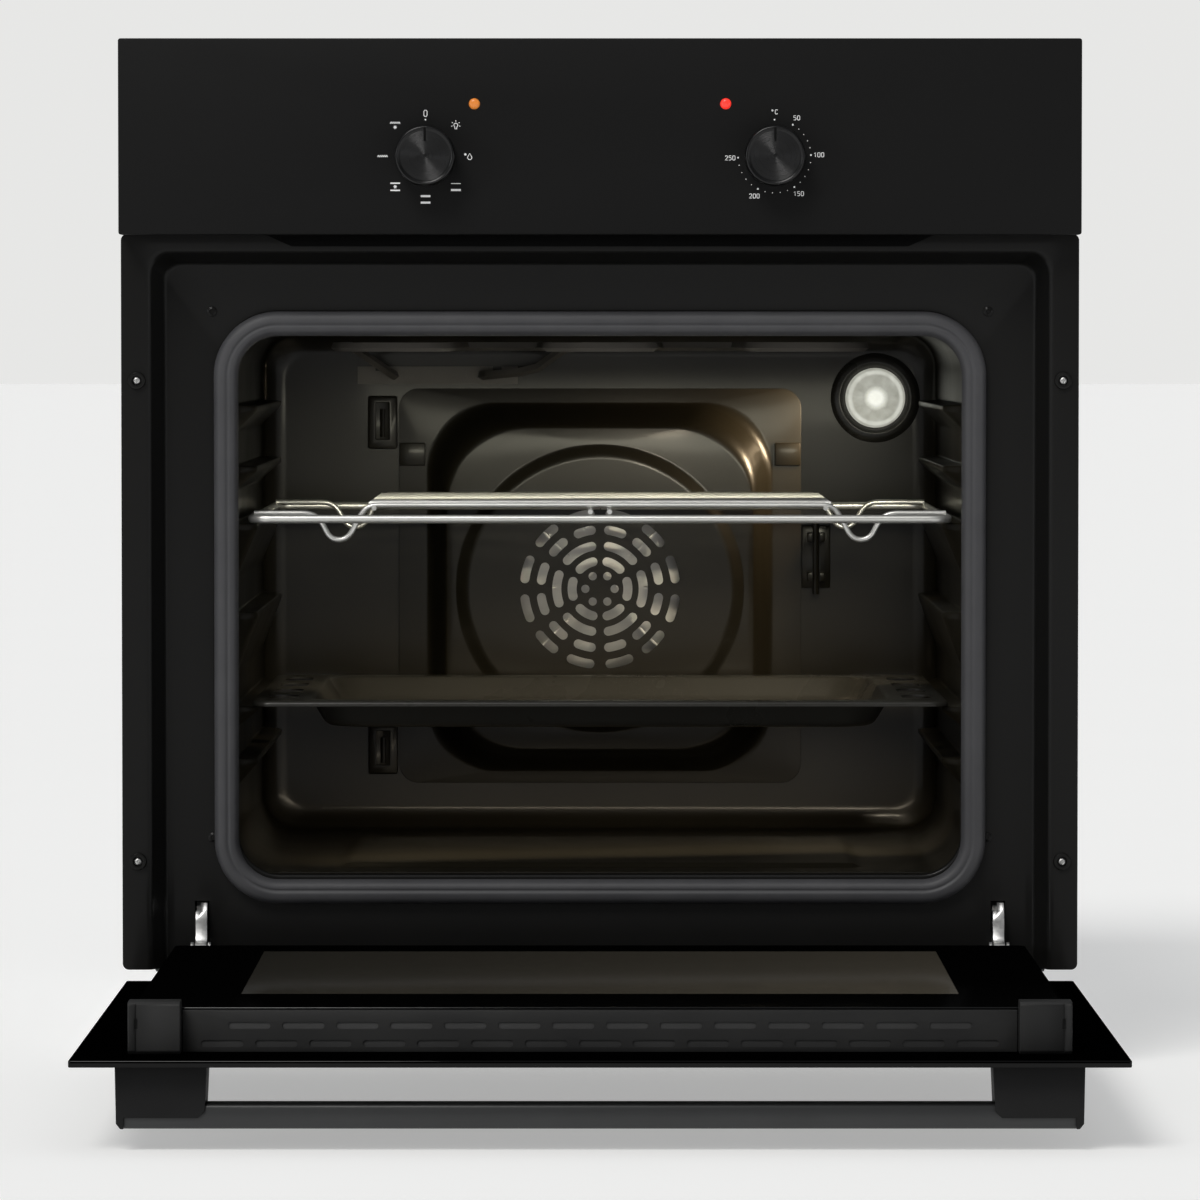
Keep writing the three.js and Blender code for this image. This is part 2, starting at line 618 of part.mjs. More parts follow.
/** Switch block behind the panel with a neck that takes the knob's shaft. */
function switchBody(halfWidth, halfHeight, rear) {
  const { shaft } = KNOB;
  const body = block(-halfWidth, halfWidth, 25, rear, -halfHeight, halfHeight);
  const neck = rod(7, 22, 26, 0, 0, 12);
  return cut(join(body, neck), rod(shaft + GAP, 20, 30, 0, 0, 12));
}

function indicatorLens() {
  const { radius } = LIGHT;
  const profile = [[0, -0.9], [radius - 1, -0.5], [radius, 0.4], [radius, 16], [0, 16]];
  return turned(profile, 0, 0, 16);
}

/** Slanted strip under the panel that turns the cooling air forwards. */
function airDeflector() {
  const edge = (half, near, far, height) =>
    [[-half, near], [half, near], [half, far], [-half, far]].map(([x, depth]) => [x, depthToY(depth), height]);
  return loft([edge(207, 20.6, 21.6, 460.1), edge(191, 14, 15.2, 453)]);
}

function fixingScrew() {
  const { front } = FRAME;
  const profile = [[0, front - 2], [1.6, front - 1.9], [2.7, front - 1.2], [2.7, front - 0.2], [1.7, front - 0.2],
    [1.7, 58], [0.6, 62], [0, 62]];
  return turned(profile, 0, 0, 12);
}

// ---- Hinges ----
function roundAbout(centre, radius, from, to, steps) {
  return Array.from({ length: steps + 1 }, (_, i) => {
    const angle = THREE.MathUtils.degToRad(from + (to - from) * i / steps);
    return [centre[0] + radius * Math.cos(angle), centre[1] + radius * Math.sin(angle)];
  });
}

/** Arm hooked into the frame slot: an eye round the pivot, a lever below it and two hooks behind. */
function hingeArm() {
  const pivot = [PIVOT.depth, PIVOT.z];
  const lever = [PIVOT.depth, PIVOT.z - HINGE.lever];
  const outline = [
    ...roundAbout(pivot, 5, 75, 200, 5),
    ...roundAbout(lever, 4, 180, 340, 5),
    [38.6, 12], [39.8, 20], [39.8, 26], [60, 26], [60, 30.5], [45, 30.5], [45, 36], [72, 36], [72, 43.5],
    [37.5, 43.5], [33.6, 39.5], [32, 32], [32, 23], [29.5, 20],
  ];
  const plate = sidePlate(outline, HINGE.x - HINGE.arm, HINGE.x + HINGE.arm);
  const eye = crossRod(2.8, HINGE.x - 8, HINGE.x + 8, pivot, 16);
  const leverEye = crossRod(1.8, HINGE.x - 8, HINGE.x + 8, lever, 12);
  return cut(plate, eye, leverEye);
}

/** Round bar, axis left to right, about a point (depth, z). */
function crossRod(radius, lowX, highX, [depth, z], sides) {
  const bar = new THREE.CylinderGeometry(radius, radius, highX - lowX, sides);
  return bar.rotateZ(Math.PI / 2).translate((lowX + highX) / 2, depthToY(depth), z);
}

/** Channel that carries the spring rod in the door, with two cheeks and the pivot pin across them. */
function hingeBody() {
  const { x, gap, wall } = HINGE;
  const [web, top, front] = [-4.9, 12.3, -165];
  const cheekOutline = [[front, web], [24, web], [29, 2], ...roundAbout([PIVOT.depth, PIVOT.z], 5, -40, 130, 6),
    [20.6, 14], [20.4, top], [front, top]];
  const cheeks = [-1, 1].map((side) => {
    const [low, high] = [gap, gap + wall].map((reach) => x + side * reach);
    return sidePlate(cheekOutline, Math.min(low, high), Math.max(low, high));
  });
  const floor = block(x - gap - 0.5, x + gap + 0.5, front, 12, web, web + wall);
  const stop = block(x - gap - 0.5, x + gap + 0.5, -52, -49, web, top);
  const rodWay = block(x - 3, x + 3, -54, -47, -1.4, 7.4);
  const pin = crossRod(2.4, x - gap - 0.5, x + gap + 0.5, [PIVOT.depth, PIVOT.z], 16);
  return cut(join(...cheeks, floor, stop, pin), rodWay);
}

/** Spring rod: a flat bar with a washer at its far end and the closing spring wound round it. */
function hingeRod() {
  const { x } = HINGE;
  const z = 3;
  const bar = block(x - 2, x + 2, -146, 12, z - 3, z + 3);
  const washer = block(x - 4.2, x + 4.2, -144, -140, z - 6, z + 7.6);
  const turns = 6;
  const stepsPerTurn = 6;
  const [springFront, springRear] = [-140.6, -64];
  const coil = Array.from({ length: turns * stepsPerTurn + 1 }, (_, i) => {
    const angle = 2 * Math.PI * i / stepsPerTurn;
    const depth = springFront + (springRear - springFront) * i / (turns * stepsPerTurn);
    return new THREE.Vector3(x + 3.4 * Math.cos(angle), depthToY(depth), z + 0.3 + 5.6 * Math.sin(angle));
  });
  return join(bar, washer, wire(coil, 0.9, 4));
}

// ---- Door, modelled lying open ----
function pane(halfX, near, far, low, high, radius) {
  return levelPlate(roundedPoints(halfX, near, far, radius, 3), low, high);
}

const doorOuterGlass = () =>
  pane(FACE.halfWidth, DOOR.front, DOOR.rear, DOOR.low, DOOR.low + DOOR.glass, 1.5);
const doorMiddleGlass = () => pane(231.5, -345, 8, 3, 7, 2);
const doorInnerGlass = () =>
  pane(DOOR.innerHalf, STRIP.face + 3, DOOR.innerRear, DOOR.innerTop - 4, DOOR.innerTop, 5);

/** Side column: a square tube between the glasses that holds the hinge. */
function doorColumn() {
  const { inner, sheet, front } = COLUMN;
  const [low, high] = [DOOR.low + DOOR.glass + GAP, DOOR.innerTop - 4 - GAP];
  const tube = block(inner, DOOR.innerHalf, front, DOOR.innerRear, low, high);
  const hollow = block(inner + sheet, DOOR.innerHalf - sheet, front - 1, DOOR.innerRear + 1, low + sheet, high - sheet);
  return cut(tube, hollow);
}

/** Vent strip along the door's upper edge, with two staggered rows of slots. */
function doorVentStrip() {
  const { face, halfWidth, high, pitch, slot, slotHeight, upper, lower } = STRIP;
  const low = DOOR.low + DOOR.glass + GAP;
  const wall = block(-halfWidth, halfWidth, face, face + 2, low, high);
  const foot = block(-231.5, 231.5, face + 1, face + 16, low, low + 1.6);
  const rows = [[upper, 14], [lower, 15]].flatMap(([z, count]) => Array.from({ length: count }, (_, i) => {
    const x = (i - (count - 1) / 2) * pitch;
    return block(x - slot / 2, x + slot / 2, face - 1, face + 5, z - slotHeight / 2, z + slotHeight / 2);
  }));
  return cut(join(wall, foot), ...rows);
}

function doorCorner() {
  const { inner, outer, front, rear, high } = CORNER;
  const low = DOOR.low + DOOR.glass + GAP;
  const outline = [[front + 2, low], [rear, low], [rear, 12], [rear - 15.8, 12], [rear - 15.8, high - 1.5],
    [rear - 17.3, high], [front + 2, high], [front, high - 2], [front, low + 2]];
  return sidePlate(outline, inner, outer);
}

/** Cross member along the door's lower edge, between the columns. */
function doorBottomStrip() {
  const low = DOOR.low + DOOR.glass + GAP;
  const outline = [[11, low], [25, low], [25, DOOR.innerTop - 1], [DOOR.innerRear + GAP, DOOR.innerTop - 1],
    [DOOR.innerRear + GAP, 12], [23, 12], [23, low + 1.6], [11, low + 1.6]];
  return sidePlate(outline, -COLUMN.inner + GAP, COLUMN.inner - GAP);
}

/** Handle post: a block under the glass with a seat for the bar and a cheek over the bar's end. */
function handlePost() {
  const { outer, inner, foot, barLow, barHigh, barFront, barRear } = HANDLE;
  const top = DOOR.low - GAP;
  const outline = [[inner, top], [inner + 1.2, foot + 4], [inner + 5.2, foot], [outer - 5, foot], [outer - 5, barLow],
    [outer - 3, barLow], [outer - 0.6, barLow + 3], [outer, top]];
  const body = uprightPlate(outline.reverse(), barFront - 1.5, barRear + 9);
  return cut(body, block(inner - 2, outer - 4, barFront - GAP, barRear + GAP, barLow - 3, barHigh + GAP));
}

function handleBar() {
  const { outer, barLow, barHigh, barFront, barRear } = HANDLE;
  const round = 1.8;
  const profile = roundedPoints((barRear - barFront) / 2, barLow, barHigh, round, 2);
  const centre = (barRear + barFront) / 2;
  return sidePlate(profile.map(([u, v]) => [centre + u, v]), -outer + 4 + GAP, outer - 4 - GAP);
}

// ---- Shelf and tray ----
/** Wire shelf: round frame, two cross wires that dip near the sides, and a raised deck on four bearers. */
function wireShelf() {
  const { rail, wire: thick, z, front, rear, thin, deck, deckZ } = SHELF;
  const rim = wire(bent([[-rail, rear, z], [-rail, front, z], [rail, front, z], [rail, rear, z]], 14, 4), thick, 6);
  const back = wire([-rail, rail].map((x) => new THREE.Vector3(x, depthToY(rear - 2), z)), thick, 6);
  const crossing = (depth) => {
    const side = [[rail, 286.4], [180, 286.4], [174, 280], [170, 269.6], [160, 269.6], [154, 280], [deck, deckZ - 1.4]];
    const left = side.map(([x, high]) => [-x, depth, high]);
    const right = side.map(([x, high]) => [x, depth, high]).reverse();
    return wire(bent([...left, ...right], 5, 1), thin, 5);
  };
  const [firstCrossing, lastCrossing] = [front + 22, rear - 32];
  const deckWires = Array.from({ length: 12 }, (_, i) => {
    const depth = firstCrossing + (lastCrossing - firstCrossing) * (i + 1) / 13;
    return wire([-deck, deck].map((x) => new THREE.Vector3(x, depthToY(depth), deckZ + 0.8)), thin, 5);
  });
  const bearer = (x, high, ends) =>
    wire(ends.map((depth) => new THREE.Vector3(x, depthToY(depth), high)), thin, 5);
  const edges = [4 - deck, deck - 4].map((x) => bearer(x, deckZ - 1.6, [firstCrossing - 2, lastCrossing + 2]));
  const middle = [-6, 6].map((x) => bearer(x, z + thick + thin - 0.3, [front - 1, rear - 1]));
  return join(rim, back, crossing(firstCrossing), crossing(lastCrossing), ...deckWires, ...edges, ...middle);
}

/** Shallow pressed tray: basin, flat flange with four holes on each side, and a turned-down rim. */
function bakingTray() {
  const { halfWidth, near, far, rim, basin, basinFoot, depth, sheet } = TRAY;
  const ring = (halfX, inset, radius, z) => level(roundedPoints(halfX, near + inset, far - inset, radius, 4), z);
  const inside = [
    ring(basinFoot, 30, 22, rim - depth),
    ring(basin, 20, 26, rim - 1),
    ring(basin + 1.5, 18.5, 27, rim),
    ring(halfWidth - 1.2, 1.2, 11, rim),
    ring(halfWidth, 0, 12, rim - 1.2),
    ring(halfWidth, 0, 12, rim - 3.4),
  ];
  const outside = [
    ring(halfWidth - sheet, sheet, 11, rim - 3.4),
    ring(halfWidth - sheet - 0.6, sheet + 0.6, 11, rim - sheet),
    ring(basin + 1.5 + sheet, 18.5 - sheet, 27, rim - sheet),
    ring(basinFoot + sheet, 30 - sheet, 22, rim - depth - sheet),
  ];
  const holes = [-1, 1].flatMap((side) => Array.from({ length: 4 }, (_, i) => {
    const middle = (near + far) / 2 + (i - 1.5) * 74;
    const outline = roundedPoints(9.5, middle - 22, middle + 22, 9.4, 2).map(([u, v]) => [u + side * 201, v]);
    return levelPlate(outline, rim - 4, rim + 2);
  }));
  return cut(loft([...inside, ...outside]), ...holes);
}

// ---- The oven ----
const finish = (color, roughness, metalness = 0) => ({ color, roughness, metalness });
const FINISHES = {
  enamel: finish(0x17140f, 0.3),
  frameEnamel: finish(0x1b1b1a, 0.45),
  galvanised: finish(0x8f9496, 0.45, 0.9),
  silicone: finish(0x3c3e42, 0.6),
  panel: finish(0x1a1a1b, 0.5),
  plastic: finish(0x232324, 0.6),
  glass: finish(0x020202, 0.06),
  clearGlass: finish(0xcfd6d2, 0.05),
  bulb: finish(0xfff2d8, 0.2),
  chrome: finish(0xc9c9c6, 0.2, 1),
  zinc: finish(0xb9bbbd, 0.3, 1),
  heater: finish(0x2e2c2a, 0.5, 0.6),
  bar: finish(0x38393a, 0.4, 0.6),
  wool: finish(0xc9bf9b, 0.95),
  orange: finish(0xd9792e, 0.3),
  red: finish(0xf02a22, 0.3),
};

const oven = new THREE.Group();
const chassis = new THREE.Group();
const door = new THREE.Group();
oven.add(chassis, door);

function addPiece(group, name, geometry, finishName, position = [0, 0, 0]) {
  const flat = geometry.index ? geometry.toNonIndexed() : geometry.clone();
  flat.computeVertexNormals();
  const mesh = new THREE.Mesh(flat, new THREE.MeshStandardMaterial(FINISHES[finishName]));
  mesh.name = name;
  mesh.position.set(...position);
  group.add(mesh);
}

/** Left and right copies of a piece that is drawn on the +X side. */
function addPair(group, name, geometry, finishName) {
  const piece = join(geometry);
  addPiece(group, `${name}_left`, mirrored(piece), finishName);
  addPiece(group, `${name}_right`, piece, finishName);
}

addPiece(chassis, 'front_frame', frontFrame(), 'frameEnamel');
addPiece(chassis, 'door_gasket', doorGasket(), 'silicone');
addPair(chassis, 'casing', casingSide(), 'galvanised');
addPiece(chassis, 'casing_top', casingTop(), 'galvanised');
addPiece(chassis, 'casing_base', casingBase(), 'galvanised');
addPiece(chassis, 'casing_back', casingBack(), 'galvanised');
addPair(chassis, 'cavity', cavitySide(), 'enamel');
addPiece(chassis, 'cavity_roof', cavityRoof(), 'enamel');
addPiece(chassis, 'cavity_floor', cavityFloor(), 'enamel');
addPiece(chassis, 'cavity_back', cavityBack(), 'enamel');
addPiece(chassis, 'sensor_bulb', sensorBulb(), 'chrome');
addPiece(chassis, 'fan_cover', fanCover(), 'enamel');
addPiece(chassis, 'fan_impeller', fanImpeller(), 'galvanised', [0, 0, FAN.z]);
addPiece(chassis, 'fan_motor', fanMotor(), 'galvanised');
addPiece(chassis, 'lamp_housing', lampHousing(), 'chrome');
addPiece(chassis, 'lamp_glass', lampGlass(), 'clearGlass');
addPiece(chassis, 'lamp_bulb', lampBulb(), 'bulb');
addPiece(chassis, 'grill_element', grillElement(), 'heater');
addPiece(chassis, 'bottom_element', bottomElement(), 'heater');
addPiece(chassis, 'insulation_wrap', insulationWrap(), 'wool');
addPiece(chassis, 'air_duct', airDuct(), 'galvanised');
addPiece(chassis, 'cooling_fan_housing', blowerHousing(), 'galvanised');
addPiece(chassis, 'cooling_fan_rotor', blowerRotor(), 'galvanised');
addPiece(chassis, 'cooling_fan_motor', blowerMotor(), 'plastic');
addPiece(chassis, 'terminal_block', terminalBlock(), 'plastic');
addPiece(chassis, 'air_deflector', airDeflector(), 'plastic');
addPiece(chassis, 'control_panel', controlPanel(), 'panel');
addPiece(chassis, 'function_knob', knob(), 'panel', [-KNOB.x, 0, KNOB.z]);
addPiece(chassis, 'thermostat_knob', knob(), 'panel', [KNOB.x, 0, KNOB.z]);
addPiece(chassis, 'function_switch', switchBody(22, 20, 58), 'plastic', [-KNOB.x, 0, KNOB.z]);
addPiece(chassis, 'thermostat', switchBody(17, 17, 50), 'plastic', [KNOB.x, 0, KNOB.z]);
addPiece(chassis, 'heating_light', indicatorLens(), 'orange', [-LIGHT.x, 0, LIGHT.z]);
addPiece(chassis, 'power_light', indicatorLens(), 'red', [LIGHT.x, 0, LIGHT.z]);
fixingPlaces().forEach(([x, z], i) => {
  addPiece(chassis, `fixing_screw_${i + 1}`, fixingScrew(), 'zinc', [x, 0, z]);
});
addPair(chassis, 'hinge_arm', hingeArm(), 'zinc');
addPiece(chassis, 'wire_shelf', wireShelf(), 'chrome');
addPiece(chassis, 'baking_tray', bakingTray(), 'enamel');

addPiece(door, 'door_outer_glass', doorOuterGlass(), 'glass');
addPiece(door, 'door_middle_glass', doorMiddleGlass(), 'clearGlass');
addPiece(door, 'door_inner_glass', doorInnerGlass(), 'glass');
addPair(door, 'door_column', doorColumn(), 'plastic');
addPair(door, 'door_corner', doorCorner(), 'plastic');
addPiece(door, 'door_vent_strip', doorVentStrip(), 'plastic');
addPiece(door, 'door_bottom_strip', doorBottomStrip(), 'plastic');
addPair(door, 'hinge_body', hingeBody(), 'zinc');
addPair(door, 'hinge_rod', hingeRod(), 'zinc');
addPair(door, 'handle_post', handlePost(), 'plastic');
addPiece(door, 'handle_bar', handleBar(), 'bar');

export default oven;
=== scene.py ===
# %% [markdown]
# # A built-in oven with its door open
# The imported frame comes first. It fixes where every part sits, and each new surface is drawn to it.
# Lengths below are millimetres, and a "depth" counts back from the face of the control panel.

# %% Load the frame and keep its box
import math

import bmesh
import bpy
import numpy as np
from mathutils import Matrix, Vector


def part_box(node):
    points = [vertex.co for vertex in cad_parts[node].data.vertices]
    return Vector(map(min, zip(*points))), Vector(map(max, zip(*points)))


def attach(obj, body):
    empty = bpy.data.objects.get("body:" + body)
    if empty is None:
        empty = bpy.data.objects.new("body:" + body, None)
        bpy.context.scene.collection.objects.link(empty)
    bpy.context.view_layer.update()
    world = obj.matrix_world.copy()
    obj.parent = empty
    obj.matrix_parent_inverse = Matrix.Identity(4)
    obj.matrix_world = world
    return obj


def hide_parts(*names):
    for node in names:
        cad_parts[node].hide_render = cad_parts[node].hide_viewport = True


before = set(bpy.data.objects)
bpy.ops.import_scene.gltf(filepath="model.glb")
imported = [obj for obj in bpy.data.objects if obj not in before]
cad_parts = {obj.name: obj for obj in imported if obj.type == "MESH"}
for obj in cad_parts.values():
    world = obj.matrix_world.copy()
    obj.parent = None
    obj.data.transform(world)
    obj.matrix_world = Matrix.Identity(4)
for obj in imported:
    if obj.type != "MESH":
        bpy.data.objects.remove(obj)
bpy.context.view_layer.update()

MM = 0.001
FACE_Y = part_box("control_panel")[0].y / MM
print("the panel's face stands at y =", round(FACE_Y, 1), "mm")


def corner_box(node):
    """Lowest and highest corner of a node in millimetres, its y as a depth behind the panel's face."""
    low, high = (np.array(corner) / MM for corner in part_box(node))
    shift = np.array([0, FACE_Y, 0])
    return low - shift, high - shift


def middle_of(node):
    """Middle of a node as seen from the front: x and z in millimetres."""
    low, high = corner_box(node)
    return (low[0] + high[0]) / 2, (low[2] + high[2]) / 2


# %% [markdown]
# ## The camera
# A long lens far away keeps the front nearly square. The eye is level with the roof of the cavity, so the
# opened door is seen from a little above and the roof not at all.

# %% Camera
EYE = Vector((0.0, -4.492, 0.398))
AIM = Vector((0.0, -0.294, 0.2345))
lens = bpy.data.cameras.new("camera")
lens.lens = 203.7
lens.sensor_width = 36.0
lens.clip_end = 200.0
camera = bpy.data.objects.new("camera", lens)
camera.location = EYE
camera.rotation_euler = (AIM - EYE).to_track_quat("-Z", "Y").to_euler()
bpy.context.scene.collection.objects.link(camera)
bpy.context.scene.camera = camera
bpy.context.scene.view_settings.view_transform = "Standard"
print("camera", round((AIM - EYE).length, 2), "m from the aim point")


# %% [markdown]
# ## Shader sums as Python
# A black oven is told apart only by how its finishes scatter light, so the materials carry the detail.
# Numbers that vary over a surface are written as sums on sockets: each operator adds one Math node.

# %% Shader helpers
class Value:
    """A socket that takes part in sums; every operator adds one Math node."""

    def __init__(self, shader, socket):
        self.shader = shader
        self.socket = socket

    def math(self, operation, *others):
        inputs = {i: other for i, other in enumerate((self, *others))}
        return self.shader.node("ShaderNodeMath", {"operation": operation}, inputs)

    def __add__(self, other):
        return self.math("ADD", other)

    def __sub__(self, other):
        return self.math("SUBTRACT", other)

    def __mul__(self, other):
        return self.math("MULTIPLY", other)

    def __truediv__(self, other):
        return self.math("DIVIDE", other)

    def __rsub__(self, other):
        return (self * -1.0) + other

    __radd__ = __add__
    __rmul__ = __mul__

    def between(self, low, high):
        """0 below low, 1 above high, straight between."""
        return ((self - low) / (high - low)).math("MAXIMUM", 0.0).math("MINIMUM", 1.0)

    def absolute(self):
        return self.math("ABSOLUTE", 0.0)


class Shader:
    """One material: its node tree, its Principled shader and the sockets of its Object coordinates."""

    def __init__(self, name, **sockets):
        self.material = bpy.data.materials.new(name)
        self.material.use_nodes = True
        self.tree = self.material.node_tree
        self.principled = self.tree.nodes["Principled BSDF"]
        for socket, value in sockets.items():
            self.principled.inputs[socket.replace("_", " ")].default_value = value
        self.place = self.node("ShaderNodeTexCoord", {}, {}, "Object")
        split = self.node("ShaderNodeSeparateXYZ", {}, {0: self.place}, "X")
        self.x = split
        self.y = Value(self, split.socket.node.outputs["Y"])
        self.z = Value(self, split.socket.node.outputs["Z"])

    def node(self, kind, settings, inputs, output=0):
        """Adds a node: its settings first, then the values or links of its sockets."""
        made = self.tree.nodes.new(kind)
        for name, value in settings.items():
            setattr(made, name, value)
        for socket, value in inputs.items():
            if isinstance(value, Value):
                self.tree.links.new(value.socket, made.inputs[socket])
            else:
                made.inputs[socket].default_value = value
        return Value(self, made.outputs[output])

    def noise(self, scale, detail=3.0, roughness=0.55, vector=None):
        inputs = {"Vector": vector or self.place, "Scale": scale, "Detail": detail, "Roughness": roughness}
        return self.node("ShaderNodeTexNoise", {}, inputs, "Fac")

    def away_from(self, centre):
        """Distance from the axis that runs front to back through `centre` (x, z in mm)."""
        across = self.x - centre[0] * MM
        up = self.z - centre[1] * MM
        return (across * across + up * up).math("POWER", 0.5)

    def stretched(self, scale):
        """Object coordinates scaled along each axis."""
        return self.node("ShaderNodeMapping", {}, {"Vector": self.place, "Scale": scale})

    def mix(self, share, first, second):
        """Colour mix; a share of 0 gives the first colour."""
        made = self.tree.nodes.new("ShaderNodeMix")
        made.data_type = "RGBA"
        for socket, value in ((0, share), (6, first), (7, second)):
            if isinstance(value, Value):
                self.tree.links.new(value.socket, made.inputs[socket])
            else:
                made.inputs[socket].default_value = (*value, 1.0) if socket else value
        return Value(self, made.outputs[2])

    def feed(self, socket, value):
        self.tree.links.new(value.socket, self.principled.inputs[socket])

    def bump(self, height, distance, strength=1.0):
        """Bump from a height of 0 to 1, with its full depth in metres."""
        inputs = {"Height": height, "Distance": distance, "Strength": strength}
        self.feed("Normal", self.node("ShaderNodeBump", {}, inputs, "Normal"))


def shades(base, *factors):
    """The same colour, darker or paler by each factor."""
    return [[factor * channel for channel in base] for factor in factors]


def grey(level):
    return (level, level, level)


# %% [markdown]
# ## Enamels and plastics
# Vitreous enamel is glass fused to steel: dark, glossy and never quite flat, because it flowed while it
# was soft. A slow noise gives that orange peel, and a fast one the pinholes and specks. The frame's
# enamel is satin, and the cavity's is browner, with paler specks.

# %% Enamel
def enamel(name, base, fleck, gloss, peel, specular):
    """Fused enamel: flow ripples, fine specks and a slightly uneven gloss."""
    shader = Shader(name, Specular_IOR_Level=specular, Coat_Weight=0.12, Coat_Roughness=0.12)
    flow = shader.noise(90.0, 2.0)
    speck = shader.noise(1400.0, 2.0).between(0.62, 0.72)
    haze = shader.noise(9.0, 4.0)
    shader.feed("Base Color", shader.mix(speck * 0.55 + haze * 0.2, base, fleck))
    shader.feed("Roughness", haze.between(0.25, 0.75) * 0.10 + speck * 0.08 + gloss)
    shader.bump(flow * 0.8 + speck * 0.2, peel)
    return shader.material


def moulded(name, base, pale, rough, grain, specular):
    """Moulded plastic with spark-eroded grain: two sizes of pits, and a cloudy sheen."""
    shader = Shader(name, Specular_IOR_Level=specular)
    cells = shader.node("ShaderNodeTexVoronoi", {"feature": "F1"}, {"Vector": shader.place, "Scale": 1900.0})
    cloud = shader.noise(22.0, 3.0)
    shader.feed("Base Color", shader.mix(cloud.between(0.3, 0.75), base, pale))
    shader.feed("Roughness", cloud * 0.1 + rough)
    shader.bump(cells * 0.7 + shader.noise(700.0) * 0.5, grain)
    return shader.material


MATERIALS = {}
for name, base, fleck, gloss, peel, specular in (
        ("frame_enamel", (0.0052, 0.0051, 0.0048), (0.01, 0.0096, 0.009), 0.4, 0.00002, 0.13),
        ("cavity_enamel", (0.0085, 0.0073, 0.0047), (0.019, 0.0163, 0.011), 0.3, 0.00003, 0.2),
        ("tray_enamel", (0.020, 0.019, 0.016), (0.045, 0.043, 0.037), 0.24, 0.00003, 0.3)):
    MATERIALS[name] = enamel(name, base, fleck, gloss, peel, specular)
for name, base, pale, grain, specular in (
        ("black_plastic", (0.0065, 0.0065, 0.0067), (0.0095, 0.0095, 0.0098), 0.00002, 0.18),
        ("door_trim", (0.013, 0.013, 0.0132), (0.019, 0.019, 0.0185), 0.00002, 0.3),
        ("strip_baffle", grey(0.028), grey(0.04), 0.00002, 0.4),
        ("mark_black", grey(0.002), grey(0.003), 0.00001, 0.1)):
    MATERIALS[name] = moulded(name, base, pale, 0.5, grain, specular)
print("enamels and plastics:", ", ".join(MATERIALS))


# %% [markdown]
# ## Panel, knobs and rubber
# The panel is powder coated: tiny even pits, nearly no gloss. A knob's cap is turned on a lathe. Its fine
# rings make the bright hour-glass of light, so they are in the mesh and in the bump, not only painted.

# %% Panel coat, spun caps, silicone
def powder_coat(name, base, rough, specular):
    shader = Shader(name, Specular_IOR_Level=specular)
    grains = shader.noise(2600.0, 3.0, 0.6)
    drift = shader.noise(5.0, 3.0)
    shader.feed("Base Color", shader.mix(drift.between(0.3, 0.8) * 0.5 + grains * 0.3, *shades(base, 1, 1.5)))
    shader.feed("Roughness", grains * 0.12 + drift * 0.08 + rough)
    shader.bump(grains, 0.00003, 0.8)
    return shader.material


def spun_metal(name, base, centre, rough):
    """Lathe-turned face: each ring about the axis through `centre` (x, z in mm) takes its own grey."""
    shader = Shader(name, Metallic=1.0)
    rings_per_metre = 9000.0
    ring = shader.away_from(centre) * rings_per_metre
    along = shader.node("ShaderNodeCombineXYZ", {}, {0: ring, 1: 0.5, 2: 0.5})
    wobble = shader.noise(1.0, 2.0, 0.5, along)
    shader.feed("Base Color", shader.mix(wobble, *shades(base, 0.75, 1.4)))
    shader.feed("Roughness", wobble * 0.1 + rough)
    shader.bump(wobble, 0.00001)
    return shader.material


def silicone():
    shader = Shader("silicone", Specular_IOR_Level=0.35)
    bloom = shader.noise(30.0, 4.0)
    fine = shader.noise(1500.0, 2.0)
    clean, bloomed = (0.050, 0.050, 0.054), (0.066, 0.066, 0.070)
    shader.feed("Base Color", shader.mix(bloom.between(0.3, 0.8), clean, bloomed))
    shader.feed("Roughness", bloom * 0.12 + fine * 0.1 + 0.4)
    shader.bump(fine * 0.5 + bloom, 0.00004)
    return shader.material


KNOBS = {node: middle_of(node) for node in ("function_knob", "thermostat_knob")}
for node, centre in KNOBS.items():
    MATERIALS[node] = spun_metal(node, (0.03, 0.03, 0.0303), centre, 0.24)
MATERIALS["panel_black"] = powder_coat("panel_black", grey(0.0058), 0.52, 0.13)
MATERIALS["silicone"] = silicone()
print("knob axes at", {node: np.round(centre, 1).tolist() for node, centre in KNOBS.items()})


# %% [markdown]
# ## Metals
# Zinc grows in spangles, so each Voronoi cell takes its own grey and gloss. Chrome wire is almost a
# mirror with faint drawing lines. Sheet for the fans is aluminised: dull, with rolled streaks.

# %% Metals
def galvanised(name, base, spangle, rough):
    shader = Shader(name, Metallic=1.0)
    drift = shader.node("ShaderNodeTexNoise", {}, {"Vector": shader.place, "Scale": 60.0}, "Color")
    small = shader.node("ShaderNodeVectorMath", {"operation": "SCALE"}, {0: drift, "Scale": 0.01})
    warp = shader.node("ShaderNodeVectorMath", {"operation": "ADD"}, {0: shader.place, 1: small})
    cell = shader.node("ShaderNodeTexVoronoi", {"feature": "F1"}, {"Vector": warp, "Scale": spangle}, "Color")
    tone = shader.node("ShaderNodeSeparateColor", {}, {0: cell})
    smear = shader.noise(6.0, 5.0)
    shader.feed("Base Color", shader.mix(tone * 0.5 + smear * 0.4, *shades(base, 0.84, 1)))
    shader.feed("Roughness", tone * 0.1 + smear * 0.1 + rough)
    shader.bump(tone * 0.4 + shader.noise(300.0) * 0.3, 0.001 / spangle)
    return shader.material


